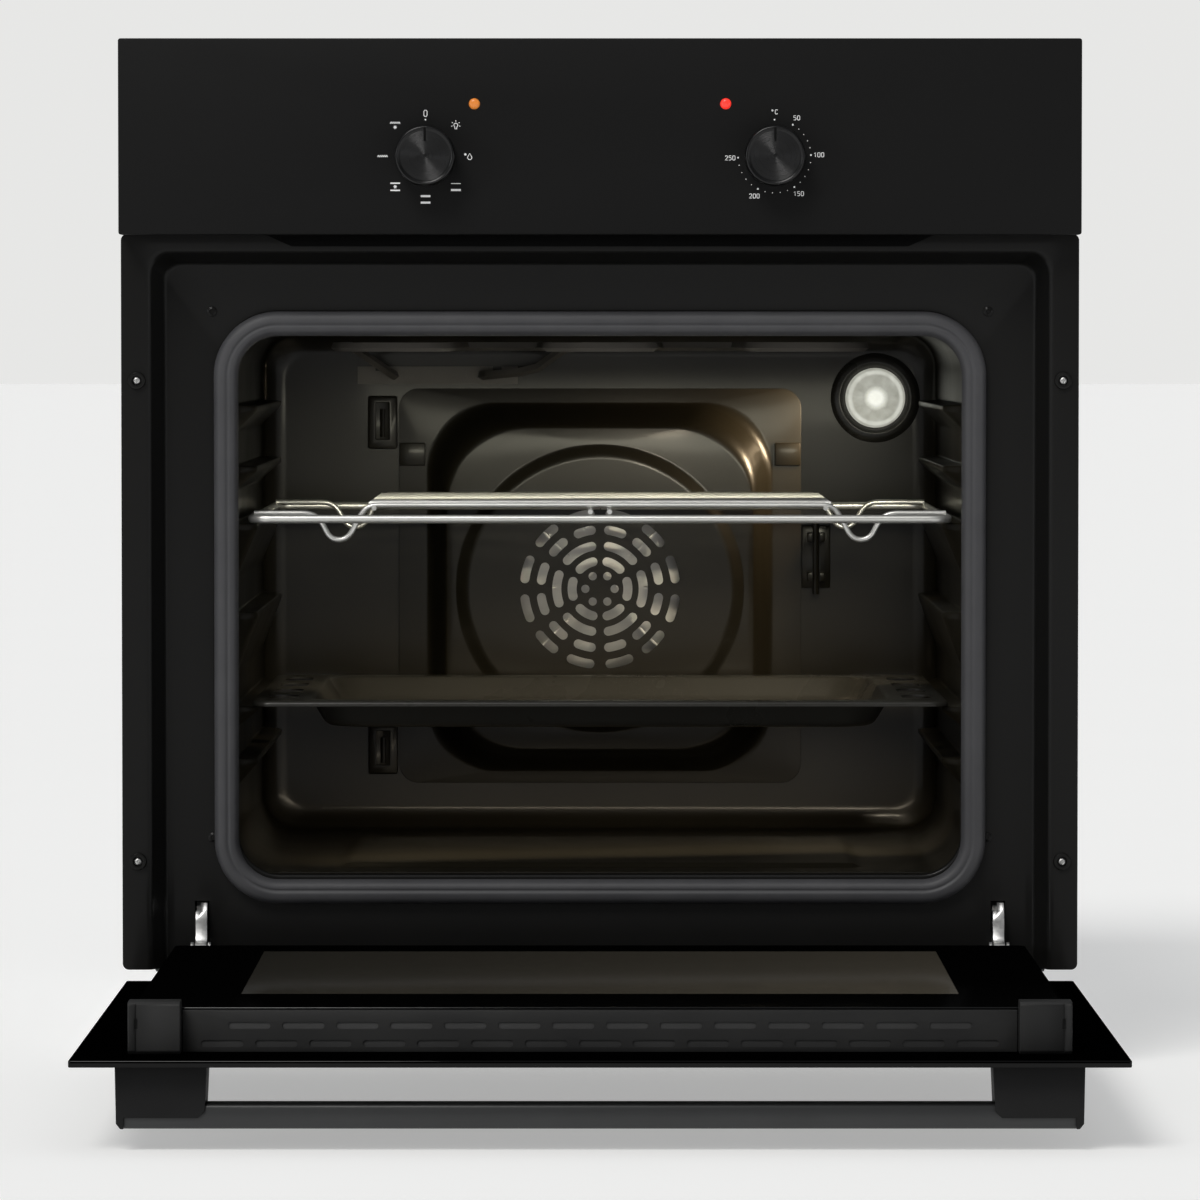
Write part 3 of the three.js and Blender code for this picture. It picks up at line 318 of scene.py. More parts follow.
def drawn_metal(name, base, rough, lines, metallic):
    """Metal with drawing lines: noise squeezed across one direction, and faint stains."""
    shader = Shader(name, Metallic=metallic)
    streak = shader.noise(1.0, 3.0, 0.6, shader.stretched(lines))
    stain = shader.noise(14.0, 4.0)
    dull = stain.between(0.35, 0.8) * 0.5 + streak * 0.2
    shader.feed("Base Color", shader.mix(dull, *shades(base, 1, 0.6)))
    shader.feed("Roughness", streak * 0.14 + stain * 0.08 + rough)
    shader.bump(streak, 0.00001)
    return shader.material


MATERIALS["galvanised"] = galvanised("galvanised", (0.5, 0.51, 0.52), 95.0, 0.32)
MATERIALS["zinc"] = galvanised("zinc", (0.7, 0.7, 0.69), 900.0, 0.3)
for name, base, rough, lines, metallic in (
        ("fan_steel", (0.56, 0.55, 0.52), 0.35, (40, 40, 900), 1.0),
        ("chrome_wire", (0.86, 0.86, 0.82), 0.24, (300, 1500, 1500), 0.75),
        ("heater", (0.13, 0.12, 0.105), 0.42, (500, 500, 500), 0.2),
        ("bar_metal", (0.038, 0.039, 0.040), 0.3, (12, 2600, 2600), 0.35)):
    MATERIALS[name] = drawn_metal(name, base, rough, lines, metallic)
print("metals made:", len(MATERIALS), "materials so far")


# %% [markdown]
# ## Glass, lamp and wool
# Black glass is printed on its back, so the face stays a perfect gloss. The inner pane is printed only
# round its edge: a mask in object coordinates leaves the window, whose warm colour is a painted reflection
# of the lit cavity, paler towards the right.

# %% Glass
def face_gloss(shader, strength, fade):
    """Coat that shows from most sides and fades at a glancing look, where the dark print takes over."""
    facing = shader.node("ShaderNodeLayerWeight", {}, {"Blend": 0.5}, "Facing")
    return (1 - facing.between(*fade)) * strength


def black_glass():
    shader = Shader("black_glass", Specular_IOR_Level=0.0, Coat_Roughness=0.03)
    film = shader.noise(4.0, 4.0)
    dust = shader.noise(900.0, 2.0).between(0.7, 0.8)
    shader.feed("Base Color", shader.mix(dust * 0.4 + film * 0.3, grey(0.0002), grey(0.0007)))
    shader.feed("Roughness", film * 0.03 + dust * 0.05 + 0.03)
    shader.feed("Coat Weight", face_gloss(shader, 0.4, (0.3, 0.7)))
    return shader.material


WINDOW = {"half": 0.2066, "near": -292.0, "far": -23.0, "edge": 0.0006}


def door_pane():
    """Black border and window, told apart by the distance from the window's middle; the window's warm colour is
    a painted reflection, paler towards the right.
    """
    shader = Shader("door_pane", Specular_IOR_Level=0.0, Coat_Roughness=0.16)
    middle = (FACE_Y + (WINDOW["near"] + WINDOW["far"]) / 2) * MM
    reach = (WINDOW["far"] - WINDOW["near"]) / 2 * MM
    side = 1 - shader.x.absolute().between(WINDOW["half"], WINDOW["half"] + WINDOW["edge"])
    ends = 1 - (shader.y - middle).absolute().between(reach, reach + WINDOW["edge"])
    window = side * ends
    film = shader.noise(7.0, 4.0)
    # Painted reflection: the window's colour grows paler and warmer towards the right, standing in for the lit
    # cavity it faces.
    painted_reflection = (shader.x + film * 0.1).between(-0.25, 0.28)
    tint = shader.mix(painted_reflection, (0.022, 0.021, 0.017), (0.095, 0.083, 0.062))
    shader.feed("Base Color", shader.mix(window, grey(0.0009), tint))
    shader.feed("Roughness", window * 0.12 + film * 0.04 + 0.03)
    shader.feed("Coat Weight", window * 0.9 + (1 - window) * face_gloss(shader, 0.7, (0.45, 0.86)))
    return shader.material


def clear_glass(name, tint, rough, ripple):
    shader = Shader(name, Transmission_Weight=1.0, IOR=1.45, Roughness=rough)
    smear = shader.noise(12.0, 4.0)
    shader.feed("Base Color", shader.mix(smear, *shades(tint, 1, 0.92)))
    shader.feed("Roughness", smear * 0.04 + rough)
    shader.bump(shader.noise(60.0), ripple)
    return shader.material


def glowing(name, base, light, strength, rough):
    """Lit plastic and glass, and white ink with a painted glow: a bright core that fades with a soft mottle."""
    shader = Shader(name, Emission_Strength=strength, Specular_IOR_Level=0.5)
    mottle = shader.noise(260.0, 2.0)
    shader.feed("Base Color", shader.mix(mottle, *shades(base, 1, 0.8)))
    shader.feed("Emission Color", shader.mix(mottle, *shades(light, 1, 0.75)))
    shader.feed("Roughness", mottle * 0.1 + rough)
    return shader.material


def lamp_lens():
    """Ribbed glass lit from behind: a bright middle, a dimmer ring, and a bright rim where it thickens."""
    shader = Shader("lamp_glass", Emission_Strength=1.0, Specular_IOR_Level=0.5)
    reach = shader.away_from(middle_of("lamp_glass"))
    ripple = shader.noise(190.0, 2.0)
    core = 1 - (reach + ripple * 0.004).between(0.006, 0.0105)
    rim = reach.between(0.0155, 0.0168) * (1 - reach.between(0.0182, 0.0192))
    light = core * 0.75 + rim * 0.3 + ripple * 0.5 - 0.05
    shader.feed("Base Color", shader.mix(ripple, (0.5, 0.5, 0.45), (0.3, 0.3, 0.27)))
    shader.feed("Emission Color", shader.mix(light, (0.20, 0.20, 0.165), (0.92, 0.93, 0.84)))
    shader.feed("Roughness", ripple * 0.1 + 0.1)
    return shader.material


def glass_wool():
    shader = Shader("wool", Specular_IOR_Level=0.1)
    fibre = shader.noise(1.0, 5.0, 0.7, shader.stretched((160, 40, 700)))
    tuft = shader.noise(45.0, 4.0)
    shader.feed("Base Color", shader.mix(fibre * 0.6 + tuft * 0.5, (0.32, 0.28, 0.17), (0.66, 0.61, 0.45)))
    shader.feed("Roughness", fibre * 0.1 + 0.85)
    shader.bump(fibre * 0.6 + tuft, 0.0012)
    return shader.material


MATERIALS["black_glass"] = black_glass()
MATERIALS["door_pane"] = door_pane()
MATERIALS["clear_glass"] = clear_glass("clear_glass", (0.86, 0.92, 0.89), 0.02, 0.000005)
MATERIALS["lamp_glass"] = lamp_lens()
MATERIALS["wool"] = glass_wool()
# The white print is no lamp: its glow is painted light that brightens the ink.
for name, base, light, strength, rough in (
        ("lamp_bulb", (0.9, 0.85, 0.7), (1.0, 0.97, 0.92), 1.6, 0.25),
        ("orange_lens", (0.55, 0.17, 0.03), (0.75, 0.24, 0.04), 0.55, 0.25),
        ("red_lens", (0.7, 0.03, 0.02), (1.0, 0.045, 0.03), 0.85, 0.25),
        ("print_white_painted_glow", grey(0.8), grey(0.6), 0.3, 0.5)):
    MATERIALS[name] = glowing(name, base, light, strength, rough)
print("all", len(MATERIALS), "materials are ready")


# %% [markdown]
# ## Surfaces from rows
# Nearly every sheet-metal piece of an oven is a rounded rectangle that changes size as it goes back:
# the frame, the seal, the tray, the fan cover. Each is a short list of rows, one rounded rectangle a
# row, and the corners between rows are softened by a curve, as a press would leave them.

# %% Surface helpers
def outlines(rows, steps=12):
    """Rounded rectangles, a row each of half width, lowest, highest, corner radius and depth.

    A corner point is the corner's centre plus the radius times the cosine and sine of its angle.
    """
    half, low, high, radius, depth = np.asarray(rows, float).T[:, :, None]
    quarter = np.repeat(np.arange(4), steps + 1)
    angle = (quarter + np.tile(np.linspace(0, 1, steps + 1), 4)) * np.pi / 2
    side = np.array([1, -1, -1, 1])[quarter]
    upper = np.array([1, 1, 0, 0])[quarter]
    middle_z = np.where(upper, high - radius, low + radius)
    x = side * (half - radius) + radius * np.cos(angle)
    z = middle_z + radius * np.sin(angle)
    return np.stack([x, depth + 0 * x, z], -1)


def rings(rows, middle, sides=64):
    """Circles about an axis through `middle` (x, z) from front to back, a row each of radius and depth."""
    radius, depth = np.asarray(rows, float).T[:, :, None]
    angle = np.linspace(0, 2 * np.pi, sides, endpoint=False)
    x = middle[0] + radius * np.cos(angle)
    return np.stack([x, depth + 0 * x, middle[1] + radius * np.sin(angle)], -1)


def softened(rows, reach, steps=3, ring=False):
    """Rounds the corner at every row: a quadratic curve from `reach` before the row to `reach` after it."""
    rows = np.asarray(rows, float)
    reach = np.broadcast_to(reach, len(rows))

    def toward(other):
        step = other - rows
        share = np.minimum(reach / np.maximum(np.abs(step).max(1), 1e-9), 0.48)
        return (rows + step * share[:, None])[:, None]

    start, end = toward(np.roll(rows, 1, 0)), toward(np.roll(rows, -1, 0))
    t = np.linspace(0, 1, steps + 1)[None, :, None]
    curve = (1 - t) ** 2 * start + 2 * t * (1 - t) * rows[:, None] + t**2 * end
    if ring:
        return curve.reshape(-1, rows.shape[1])
    return np.vstack([rows[:1], curve[1:-1].reshape(-1, rows.shape[1]), rows[-1:]])


def to_level(grid):
    """Lays an upright grid down: what was height runs back into the oven, and what was depth is height."""
    return grid[..., [0, 2, 1]]


def mesh_object(name, points, faces):
    """Mesh from points (x, depth, z) in millimetres, its faces turned outwards."""
    mesh = bpy.data.meshes.new(name)
    places = (np.asarray(points, float).reshape(-1, 3) + [0, FACE_Y, 0]) * MM
    mesh.from_pydata(places.tolist(), [], faces)
    work = bmesh.new()
    work.from_mesh(mesh)
    bmesh.ops.remove_doubles(work, verts=work.verts, dist=1e-7)
    bmesh.ops.recalc_face_normals(work, faces=work.faces)
    work.to_mesh(mesh)
    work.free()
    made = bpy.data.objects.new(name, mesh)
    bpy.context.scene.collection.objects.link(made)
    return made


def skin(name, grid, ring=False, caps=True):
    """Quads over rows that close round: capped at both ends, or the last row joined to the first."""
    rows, around = grid.shape[:2]
    row = np.arange(rows if ring else rows - 1)[:, None]
    step = np.arange(around)[None]
    here, beside = row * around, (step + 1) % around
    above = (row + 1) % rows * around
    faces = np.stack([here + step, here + beside, above + beside, above + step], -1).reshape(-1, 4).tolist()
    if caps and not ring:
        faces.append(list(range(around)))
        faces.append(list(range((rows - 1) * around, rows * around)))
    return mesh_object(name, grid, faces)


AXES = {"x": (2, 0, 1), "depth": (0, 2, 1), "z": (0, 1, 2)}


def rounded(made, bevel, segments, crease):
    """Rounds every edge sharper than the crease angle."""
    rounding = made.modifiers.new("edges", "BEVEL")
    rounding.width = bevel * MM
    rounding.segments = segments
    rounding.limit_method = "ANGLE"
    rounding.angle_limit = math.radians(crease)
    return bake(made)


def prism(name, outline, axis, low, high, bevel=0.0):
    """Straight prism: a flat outline carried along an axis, with its edges rounded by a Bevel.

    The outline is (depth, z) along x, (x, z) along depth and (x, depth) along z.
    """
    flat = np.asarray(outline, float)
    count = len(flat)
    ends = [np.column_stack([flat, np.full(count, end)]) for end in (low, high)]
    points = np.vstack(ends)[:, list(AXES[axis])]
    step = np.arange(count)
    beside = (step + 1) % count
    sides = np.stack([step, beside, beside + count, step + count], -1).tolist()
    made = mesh_object(name, points, [list(range(count)), list(range(count, 2 * count)), *sides])
    return rounded(made, bevel, 2, 35) if bevel else made


def slab(name, low, high, bevel=0.0):
    """Box between two corners (x, depth, z), edges rounded."""
    outline = [(low[0], low[2]), (high[0], low[2]), (high[0], high[2]), (low[0], high[2])]
    return prism(name, outline, "depth", low[1], high[1], bevel)


def bake(made):
    """Makes what the modifiers show into the object's own mesh."""
    view = bpy.context.evaluated_depsgraph_get()
    view.update()
    shown = bpy.data.meshes.new_from_object(made.evaluated_get(view))
    old = made.data
    made.modifiers.clear()
    made.data = shown
    bpy.data.meshes.remove(old)
    return made


def merged(name, pieces):
    """One object out of several that touch or overlap, so that they move and shine as one."""
    work = bmesh.new()
    for piece in pieces:
        work.from_mesh(piece.data)
    mesh = bpy.data.meshes.new(name)
    work.to_mesh(mesh)
    work.free()
    for piece in pieces:
        old = piece.data
        bpy.data.objects.remove(piece)
        bpy.data.meshes.remove(old)
    made = bpy.data.objects.new(name, mesh)
    bpy.context.scene.collection.objects.link(made)
    return made


def carved(made, cutters, operation="DIFFERENCE"):
    """Cuts the cutters out of the piece with one exact Boolean."""
    tool = merged("cutter", cutters)
    boolean = made.modifiers.new("cut", "BOOLEAN")
    boolean.operation = operation
    boolean.solver = "EXACT"
    boolean.use_self = True
    boolean.object = tool
    bake(made)
    bpy.data.objects.remove(tool)
    return made


def wire(name, points, radius, sides=12):
    """Round wire through points (x, depth, z): a bevelled curve made into a mesh."""
    curve = bpy.data.curves.new(name, "CURVE")
    curve.dimensions = "3D"
    curve.bevel_depth = radius * MM
    curve.bevel_resolution = max(sides // 4 - 1, 0)
    curve.use_fill_caps = True
    line = curve.splines.new("POLY")
    places = (np.asarray(points, float) + [0, FACE_Y, 0]) * MM
    line.points.add(len(places) - 1)
    line.points.foreach_set("co", np.column_stack([places, np.ones(len(places))]).ravel())
    made = bpy.data.objects.new(name, curve)
    bpy.context.scene.collection.objects.link(made)
    view = bpy.context.evaluated_depsgraph_get()
    mesh = bpy.data.meshes.new_from_object(made.evaluated_get(view))
    bpy.data.objects.remove(made)
    straight = bpy.data.objects.new(name, mesh)
    bpy.context.scene.collection.objects.link(straight)
    return straight


def squeezed(made, axis, middle, share):
    """Flattens a mesh towards a plane across an axis (0 for x, 1 for depth, 2 for z)."""
    places = np.empty(len(made.data.vertices) * 3)
    made.data.vertices.foreach_get("co", places)
    places = places.reshape(-1, 3)
    plane = (middle + (FACE_Y if axis == 1 else 0)) * MM
    places[:, axis] = plane + (places[:, axis] - plane) * share
    made.data.vertices.foreach_set("co", places.ravel())
    return made


TRIANGLES = {}


def place(made, body, material, nodes=(), sharp=32):
    """Smooth shading up to a crease angle, a finish, the body it rides on and the nodes it stands for."""
    mesh = made.data
    mesh.shade_smooth()
    mesh.set_sharp_from_angle(angle=math.radians(sharp))
    mesh.materials.clear()
    mesh.materials.append(MATERIALS[material])
    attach(made, body)
    if nodes:
        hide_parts(*nodes)
    mesh.calc_loop_triangles()
    TRIANGLES[made.name] = len(mesh.loop_triangles)
    return made


def refinish(material, *nodes):
    """Keeps a CAD node as it is and gives it the finish."""
    for node in nodes:
        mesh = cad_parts[node].data
        mesh.materials.clear()
        mesh.materials.append(MATERIALS[material])


print("surface helpers ready")

# %% [markdown]
# ## The front frame and its seal
# The frame is one pressing: a flat border, a sloped step and a recessed floor with the mouth in it.
# Drawing it as rows keeps the step's four mitres smooth. Its foot is cut straight, because the recess
# runs out below for the door to swing into.

# %% Front frame
SCREWS = {i: middle_of(f"fixing_screw_{i}") for i in range(1, 5)}
SCREW_PLACES = list(SCREWS.values())
UNDER_PANEL = 1.0
frame_low, frame_high = corner_box("front_frame")
half, foot, top = frame_high[0], frame_low[2], frame_high[2] + UNDER_PANEL
FRONT, FLOOR, LIP, SHEET = 22.0, 40.5, 47.9, 1.5
HINGE_X = 249
MOUTH = np.array([226.0, 61.0, 399.0, 26.0])
MOUTH_BACK = MOUTH + [1.4, -1.4, 1.4, 1.4]

pressing = [
    (half, -40, top, 4, FRONT),
    (279.5, -32, 449.5, 13, FRONT),
    (271.5, -22, 443, 10, FLOOR),
    (*MOUTH, FLOOR),
    (*MOUTH, LIP),
    (*MOUTH_BACK, LIP),
    (*MOUTH_BACK, FLOOR + SHEET),
    (273, -24, 444.5, 11, FLOOR + SHEET),
    (281, -34, 451, 14, FRONT + SHEET),
    (half, -42, top, 4, FRONT + SHEET),
]
reach = [0.6, 3.0, 3.5, 2.0, 0.5, 0.5, 1.0, 2.0, 2.0, 0.6]
front_frame = skin("front_frame_pressing", outlines(softened(pressing, reach, 5, ring=True)), ring=True)
collar = softened([(3, 19.6), (5.2, 19.6), (5.6, 22.4), (3, 22.4)], 0.35, 3, True)
collars = [skin("collar", rings(collar, spot, 32), ring=True) for spot in SCREW_PLACES]
dimples = [(side * 242.0, z) for side in (-1, 1) for z in (413.0, 84.5)]
boss = [(3.2, 40.6), (3.0, 39.4), (1.6, 38.8), (1.5, 39.6)]
bosses = [skin("boss", rings(boss, spot, 24)) for spot in dimples]
outline = outlines([(half, foot, top, 4, 0)], 6)[0][:, [0, 2]]
keeper = prism("keeper", outline, "depth", 18, 60)
carved(front_frame, [keeper], "INTERSECT")
slots = [slab("slot", (x - 4.5, 36, 24.5), (x + 4.5, 46, 44.5)) for x in (-HINGE_X, HINGE_X)]
holes = [skin("hole", rings([(2, 15), (2, 30)], spot, 24)) for spot in SCREW_PLACES]
carved(front_frame, slots + holes)


def hinge_box(x):
    """Folded bracket behind the frame, open at the front, that a hinge arm hooks into."""
    shell = slab("bracket", (x - 9, FLOOR + 0.7, 18), (x + 9, 82, 52), 0.8)
    return carved(shell, [slab("room", (x - 7.5, FLOOR - 2, 19.5), (x + 7.5, 80.5, 50.5))])


brackets = [hinge_box(-HINGE_X), hinge_box(HINGE_X)]
front_frame = merged("front_frame_pressing", [front_frame, *collars, *bosses, *brackets])
place(front_frame, "chassis", "frame_enamel", ["front_frame"])
print("front frame", TRIANGLES["front_frame_pressing"], "triangles")

# %% Door seal
seal_low, seal_high = corner_box("door_gasket")
section = [(0, 40.3), (0, 34.6), (2.4, 31.2), (6.8, 30.0), (8.6, 31.3),
           (10.2, 30.6), (13.2, 31.6), (15.3, 35.5), (15.3, 40.3)]
seal_rows = [(seal_high[0] - i, seal_low[2] + i, seal_high[2] - i, 40 - i, depth) for i, depth in section]
seal = skin("door_seal", outlines(softened(seal_rows, 1.9, 6, ring=True), 24), ring=True)
place(seal, "chassis", "silicone", ["door_gasket"], 60)
print("door seal", TRIANGLES["door_seal"], "triangles")

# %% [markdown]
# ## The cavity
# The liner is one sheet wrapped round four walls. Its profile runs once round the mouth. At each ledge
# it steps in by an offset that fades out towards both ends, so the ledges rise from the wall as
# pressings do. The floor's middle is lifted the same way by a smooth step.

# %% Cavity liner
LEDGES = [(354, 16), (316, 15), (280, 35), (224, 38), (165, 14), (132, 18)]
CAVITY = {"half": 229.0, "low": 62.0, "high": 400.0, "radius": 24.0, "front": 48.4, "rear": 417.4,
          "reach": 13.5}


def smooth_step(value):
    """0 below 0 and 1 above 1, with level ends: three squares less two cubes."""
    value = np.clip(value, 0, 1)
    return value**2 * (3 - 2 * value)


def side_profile():
    """Offset and height down one wall: a flat ledge, a short lip and a long slope under each."""
    points = [(0, CAVITY["high"] - CAVITY["radius"])]
    for high, tall in LEDGES:
        points += [(0, high + 0.7), (1, high), (1, high - 3.2), (0, high - tall)]
    points.append((0, CAVITY["low"] + CAVITY["radius"]))
    flat = np.array(points, float) * [CAVITY["reach"], 1]
    return softened(flat, 1.3, 4)


def liner_round():
    """Once round the liner from the middle of the roof: x, z, and how far each point steps in."""
    half, low, high, radius = (CAVITY[k] for k in ("half", "low", "high", "radius"))
    wall = side_profile()
    roof = np.column_stack([np.linspace(0, half - radius, 12)[:-1], np.full(11, high), np.zeros(11)])
    turn = np.linspace(0, np.pi / 2, 12)[:-1]
    out, back = radius * np.sin(turn), radius * np.cos(turn)
    bend = np.column_stack([half - radius + out, high - radius + back, 0 * turn])
    down = np.column_stack([np.full(len(wall), half), wall[:, 1], wall[:, 0]])
    foot = np.column_stack([half - radius + back, low + radius - out, 0 * turn])
    floor = np.column_stack([np.linspace(half - radius, 0, 56), np.full(56, low), np.zeros(56)])
    right = np.vstack([roof, bend, down, foot[1:], floor])
    left = right[1:-1][::-1] * [-1, 1, 1]
    return np.vstack([right, left])


def cavity_liner():
    """Sheet from front to back, with closer rows where the ledges and the floor's step begin and end."""
    profile_x, profile_z, step_in = liner_round().T
    spans = [(CAVITY["front"], 80, 16), (80, 100, 12), (100, 306, 16),
             (306, 322, 12), (322, 386, 6), (386, CAVITY["rear"], 16)]
    depth = np.unique(np.concatenate([np.linspace(*span) for span in spans]))[:, None]
    fade = smooth_step((depth - 55) / 20) * smooth_step((412 - depth) / 18)
    x = np.sign(profile_x) * (np.abs(profile_x) - step_in * fade)
    along = smooth_step((depth - 86) / 7) * smooth_step((322 - depth) / 7)
    lift = smooth_step((166 - np.abs(profile_x)) / 7) * along
    on_floor = profile_z < CAVITY["low"] + 0.01
    z = profile_z + 0 * depth + np.where(on_floor, 2.4 * lift, 0)
    return skin("cavity_liner", np.stack([x, depth + 0 * x, z], -1), caps=False)


liner = cavity_liner()
print("cavity liner", len(liner.data.polygons), "quads before it gets its thickness")
thickness = liner.modifiers.new("sheet", "SOLIDIFY")
thickness.thickness = 0.9 * MM
inward = liner.data.polygons[0].normal.z < 0
thickness.offset = -1.0 if inward else 1.0
bake(liner)
place(liner, "chassis", "cavity_enamel",
      ["cavity_left", "cavity_right", "cavity_roof", "cavity_floor"], 40)

# %% Rear wall with its brackets
REAR = 430.0
FAN_Z = middle_of("fan_impeller")[1]
LAMP = middle_of("lamp_glass")


def wall_row(inset, depth, grow=0.0):
    half, low, high = (CAVITY[k] for k in ("half", "low", "high"))
    radius = max(CAVITY["radius"] - 0.55 * inset, 12)
    return (half - inset + grow, low + inset - grow, high - inset + grow, radius + grow, depth)


dish = [wall_row(60, REAR), wall_row(11, REAR), wall_row(0.3, 423), wall_row(0, 417.7), wall_row(0, 417.7, 0.9),
        wall_row(0.3, 423.6, 0.9), wall_row(11, REAR + 0.9, 0.9), wall_row(60, REAR + 0.9)]
rear_wall = skin("rear_wall_dish", outlines(softened(dish, [0, 5, 3, 0.2, 0.2, 3, 5, 0], 6), 16))
rear_holes = [skin("fan_hole", rings([(14, 420), (14, 440)], (0, FAN_Z), 40)),
              skin("lamp_hole", rings([(26, 410), (26, 440)], LAMP, 48))]
rear_holes += [skin("leg_hole", rings([(4.2, 420), (4.2, 440)], (x, 371), 24)) for x in (-140, -80)]
carved(rear_wall, rear_holes)


def rear_hook(low, high):
    """Small pressed loop with an upright bar in its window."""
    plate = slab("hook", (-158, REAR - 5, low), (-138, REAR + 0.5, high), 1.6)
    carved(plate, [slab("window", (-153, REAR - 9, low + 6), (-143, REAR - 3.4, high - 4), 0.8)])
    return merged("hook", [plate, wire("bar", [(-148, REAR - 4, low + 8), (-148, REAR - 4, high - 9)], 1.8)])


bracket = slab("bracket", (137.5, REAR - 2, 226), (157, REAR + 0.5, 269), 0.9)
clips = []
for z in (231, 258):
    clip = slab("clip", (141, REAR - 14, z), (153, REAR - 1, z + 6), 0.9)
    clips.append(carved(clip, [slab("seat", (144.2, REAR - 16, z - 1), (149.8, REAR - 6, z + 7))]))
hooks = [rear_hook(321, 357), rear_hook(99, 133)]
rear_wall = merged("rear_wall_dish", [rear_wall, *hooks, bracket, *clips])
place(rear_wall, "chassis", "cavity_enamel", ["cavity_back"])
print("rear wall", TRIANGLES["rear_wall_dish"], "triangles")

# %% [markdown]
# ## Fan cover
# The cover is a plate with a rounded-square boss pressed out of it and a round step on that. The grille
# is four rings of round-ended slots, each an arc of a circle, so one function makes them all.

# %% Fan cover
SLOT_RINGS = [(18.9, 6, 0, 15.5), (29.3, 6, 0, 19.0), (40.1, 12, 15, 6.6), (51.3, 12, 15, 7.4)]


def arc_slot(ring, middle, half_span, width=6.1):
    """Outline of a slot along a circle: two arcs, joined by a half circle at each end."""
    reach = np.radians(half_span)
    along = np.linspace(-reach, reach, 9)
    cap = np.linspace(0, np.pi, 9)[1:-1]

    def turned(points, angle):
        return points @ np.array([[np.cos(angle), np.sin(angle)], [-np.sin(angle), np.cos(angle)]])

    def end(sign):
        local = [ring + width / 2 * np.cos(cap) * sign, width / 2 * np.sin(cap) * sign]
        return turned(np.column_stack(local), sign * reach)

    outer = np.column_stack([np.cos(along), np.sin(along)]) * (ring + width / 2)
    inner = np.column_stack([np.cos(along[::-1]), np.sin(along[::-1])]) * (ring - width / 2)
    return turned(np.vstack([outer, end(1), inner, end(-1)]), np.radians(middle)) + [0, FAN_Z]


def cover_rows(shift):
    """One face of the cover's sheet, from the middle of the grille out to the plate's border."""
    steps = [(60, 60, 60, 399), (90, 90, 90, 399), (97.5, 97.5, 97.5, 403), (105, 111, 47, 403),
             (114.8, 124.3, 51, 427.4)]
    return [(half - shift, FAN_Z - tall + shift, FAN_Z + tall - shift, radius - shift, depth + shift)
            for half, tall, radius, depth in steps]


edge = [(136.9, 93.1, 361.9, 13.4, depth) for depth in (427.4, 428.4)]
reach = [0, 2.2, 2.2, 10, 6, 0.3, 0.3, 5, 8, 2, 2, 0]
rows = softened([*cover_rows(0), *edge, *cover_rows(1.0)[::-1]], reach, 6)
cover = skin("fan_cover_pressing", outlines(rows, 18))
cutters = [prism("slot", arc_slot(ring, first + 360 * i / count, span), "depth", 396, 404)
           for ring, count, first, span in SLOT_RINGS for i in range(count)]
for turn in np.radians(np.arange(0, 360, 60)):
    spot = (9.9 * math.cos(turn), FAN_Z + 9.9 * math.sin(turn))
    cutters.append(skin("hole", rings([(2.8, 396), (2.8, 404)], spot, 20)))
carved(cover, cutters)
tabs = [slab("tab", (left, 425.6, 309.5), (left + 17.5, 427.8, 325), 0.8) for left in (-136.5, 119)]
cover = merged("fan_cover_pressing", [cover, *tabs])
place(cover, "chassis", "cavity_enamel", ["fan_cover"])
print("fan cover with", len(cutters), "openings,", TRIANGLES["fan_cover_pressing"], "triangles")

# %% [markdown]
# ## Lamp
# The lamp glass is a thick dome with moulded ribs that spread the light. Ribs are a small wave in the
# radius. The bulb behind it glows, and a soft light beside it, set up with the stage, lights only the fan
# cover.

# %% Lamp
def dome_rows(front, wall):
    """Outside of the dome from its tip to its foot, then the inside back again, `wall` thick."""
    outer = [(0.2, front), (9, front + 0.9), (15.5, front + 3.4), (19.4, front + 7.6), (20.3, front + 13),
             (20.3, 433)]
    inner = [(max(radius - wall, 0.2), depth + wall) for radius, depth in outer[:-1]]
    return softened([*outer, (20.3 - wall, 433), *inner[::-1]], 1.2, 4)


RIBS = 24
dome = rings(dome_rows(corner_box("lamp_glass")[0][1] + 0.2, 2.4), LAMP, 4 * RIBS)
across, up = dome[..., 0] - LAMP[0], dome[..., 2] - LAMP[1]
dome[..., 1] += 0.16 * np.cos(RIBS * np.arctan2(up, across)) * smooth_step(np.hypot(across, up) / 14)
place(skin("lamp_dome", dome), "chassis", "lamp_glass", ["lamp_glass"], 60)
seat = softened([(21.6, 427.8), (24, 426.6), (27.5, 427.2), (30.4, 429.0), (30.4, 429.7), (25.3, 429.7),
                 (25.3, 475.8), (0.2, 475.8), (0.2, 473), (23, 473), (23, 429.2)], 0.8, 4, ring=True)
seat = skin("lamp_seat", rings(seat, LAMP, 64), ring=True)
place(seat, "chassis", "tray_enamel", ["lamp_housing"])
bulb = softened([(0.2, 421), (4.6, 422), (6.8, 426), (7, 433), (6.2, 438.5), (10.8, 440), (10.8, 462), (7, 465),
                 (7, 472.4)], 1.2, 4)
place(skin("halogen_bulb", rings(bulb, LAMP, 40)), "chassis", "lamp_bulb", ["lamp_bulb"], 50)
print("lamp at", np.round(LAMP, 1).tolist())

# %% [markdown]
# ## Wire shelf
# Wires are welded where they cross. The frame is a thick wire bent to a rectangle. Two cross wires dip
# into a U near each side, which keeps a pan in place, and the deck wires run from left to right on top.

# %% Wires
shelf_low, shelf_high = corner_box("wire_shelf")
FRAME_WIRE = 2.7
RAIL = shelf_high[0] - FRAME_WIRE
near, far = shelf_low[1] + 2.9, shelf_high[1] - 2.9
corners = [(0, far), (-RAIL, far), (-RAIL, near), (RAIL, near), (RAIL, far), (0.5, far)]
frame_path = softened([(x, depth, 283.2) for x, depth in corners], 12, 8)
pieces = [wire("frame_wire", frame_path, FRAME_WIRE, 16)]


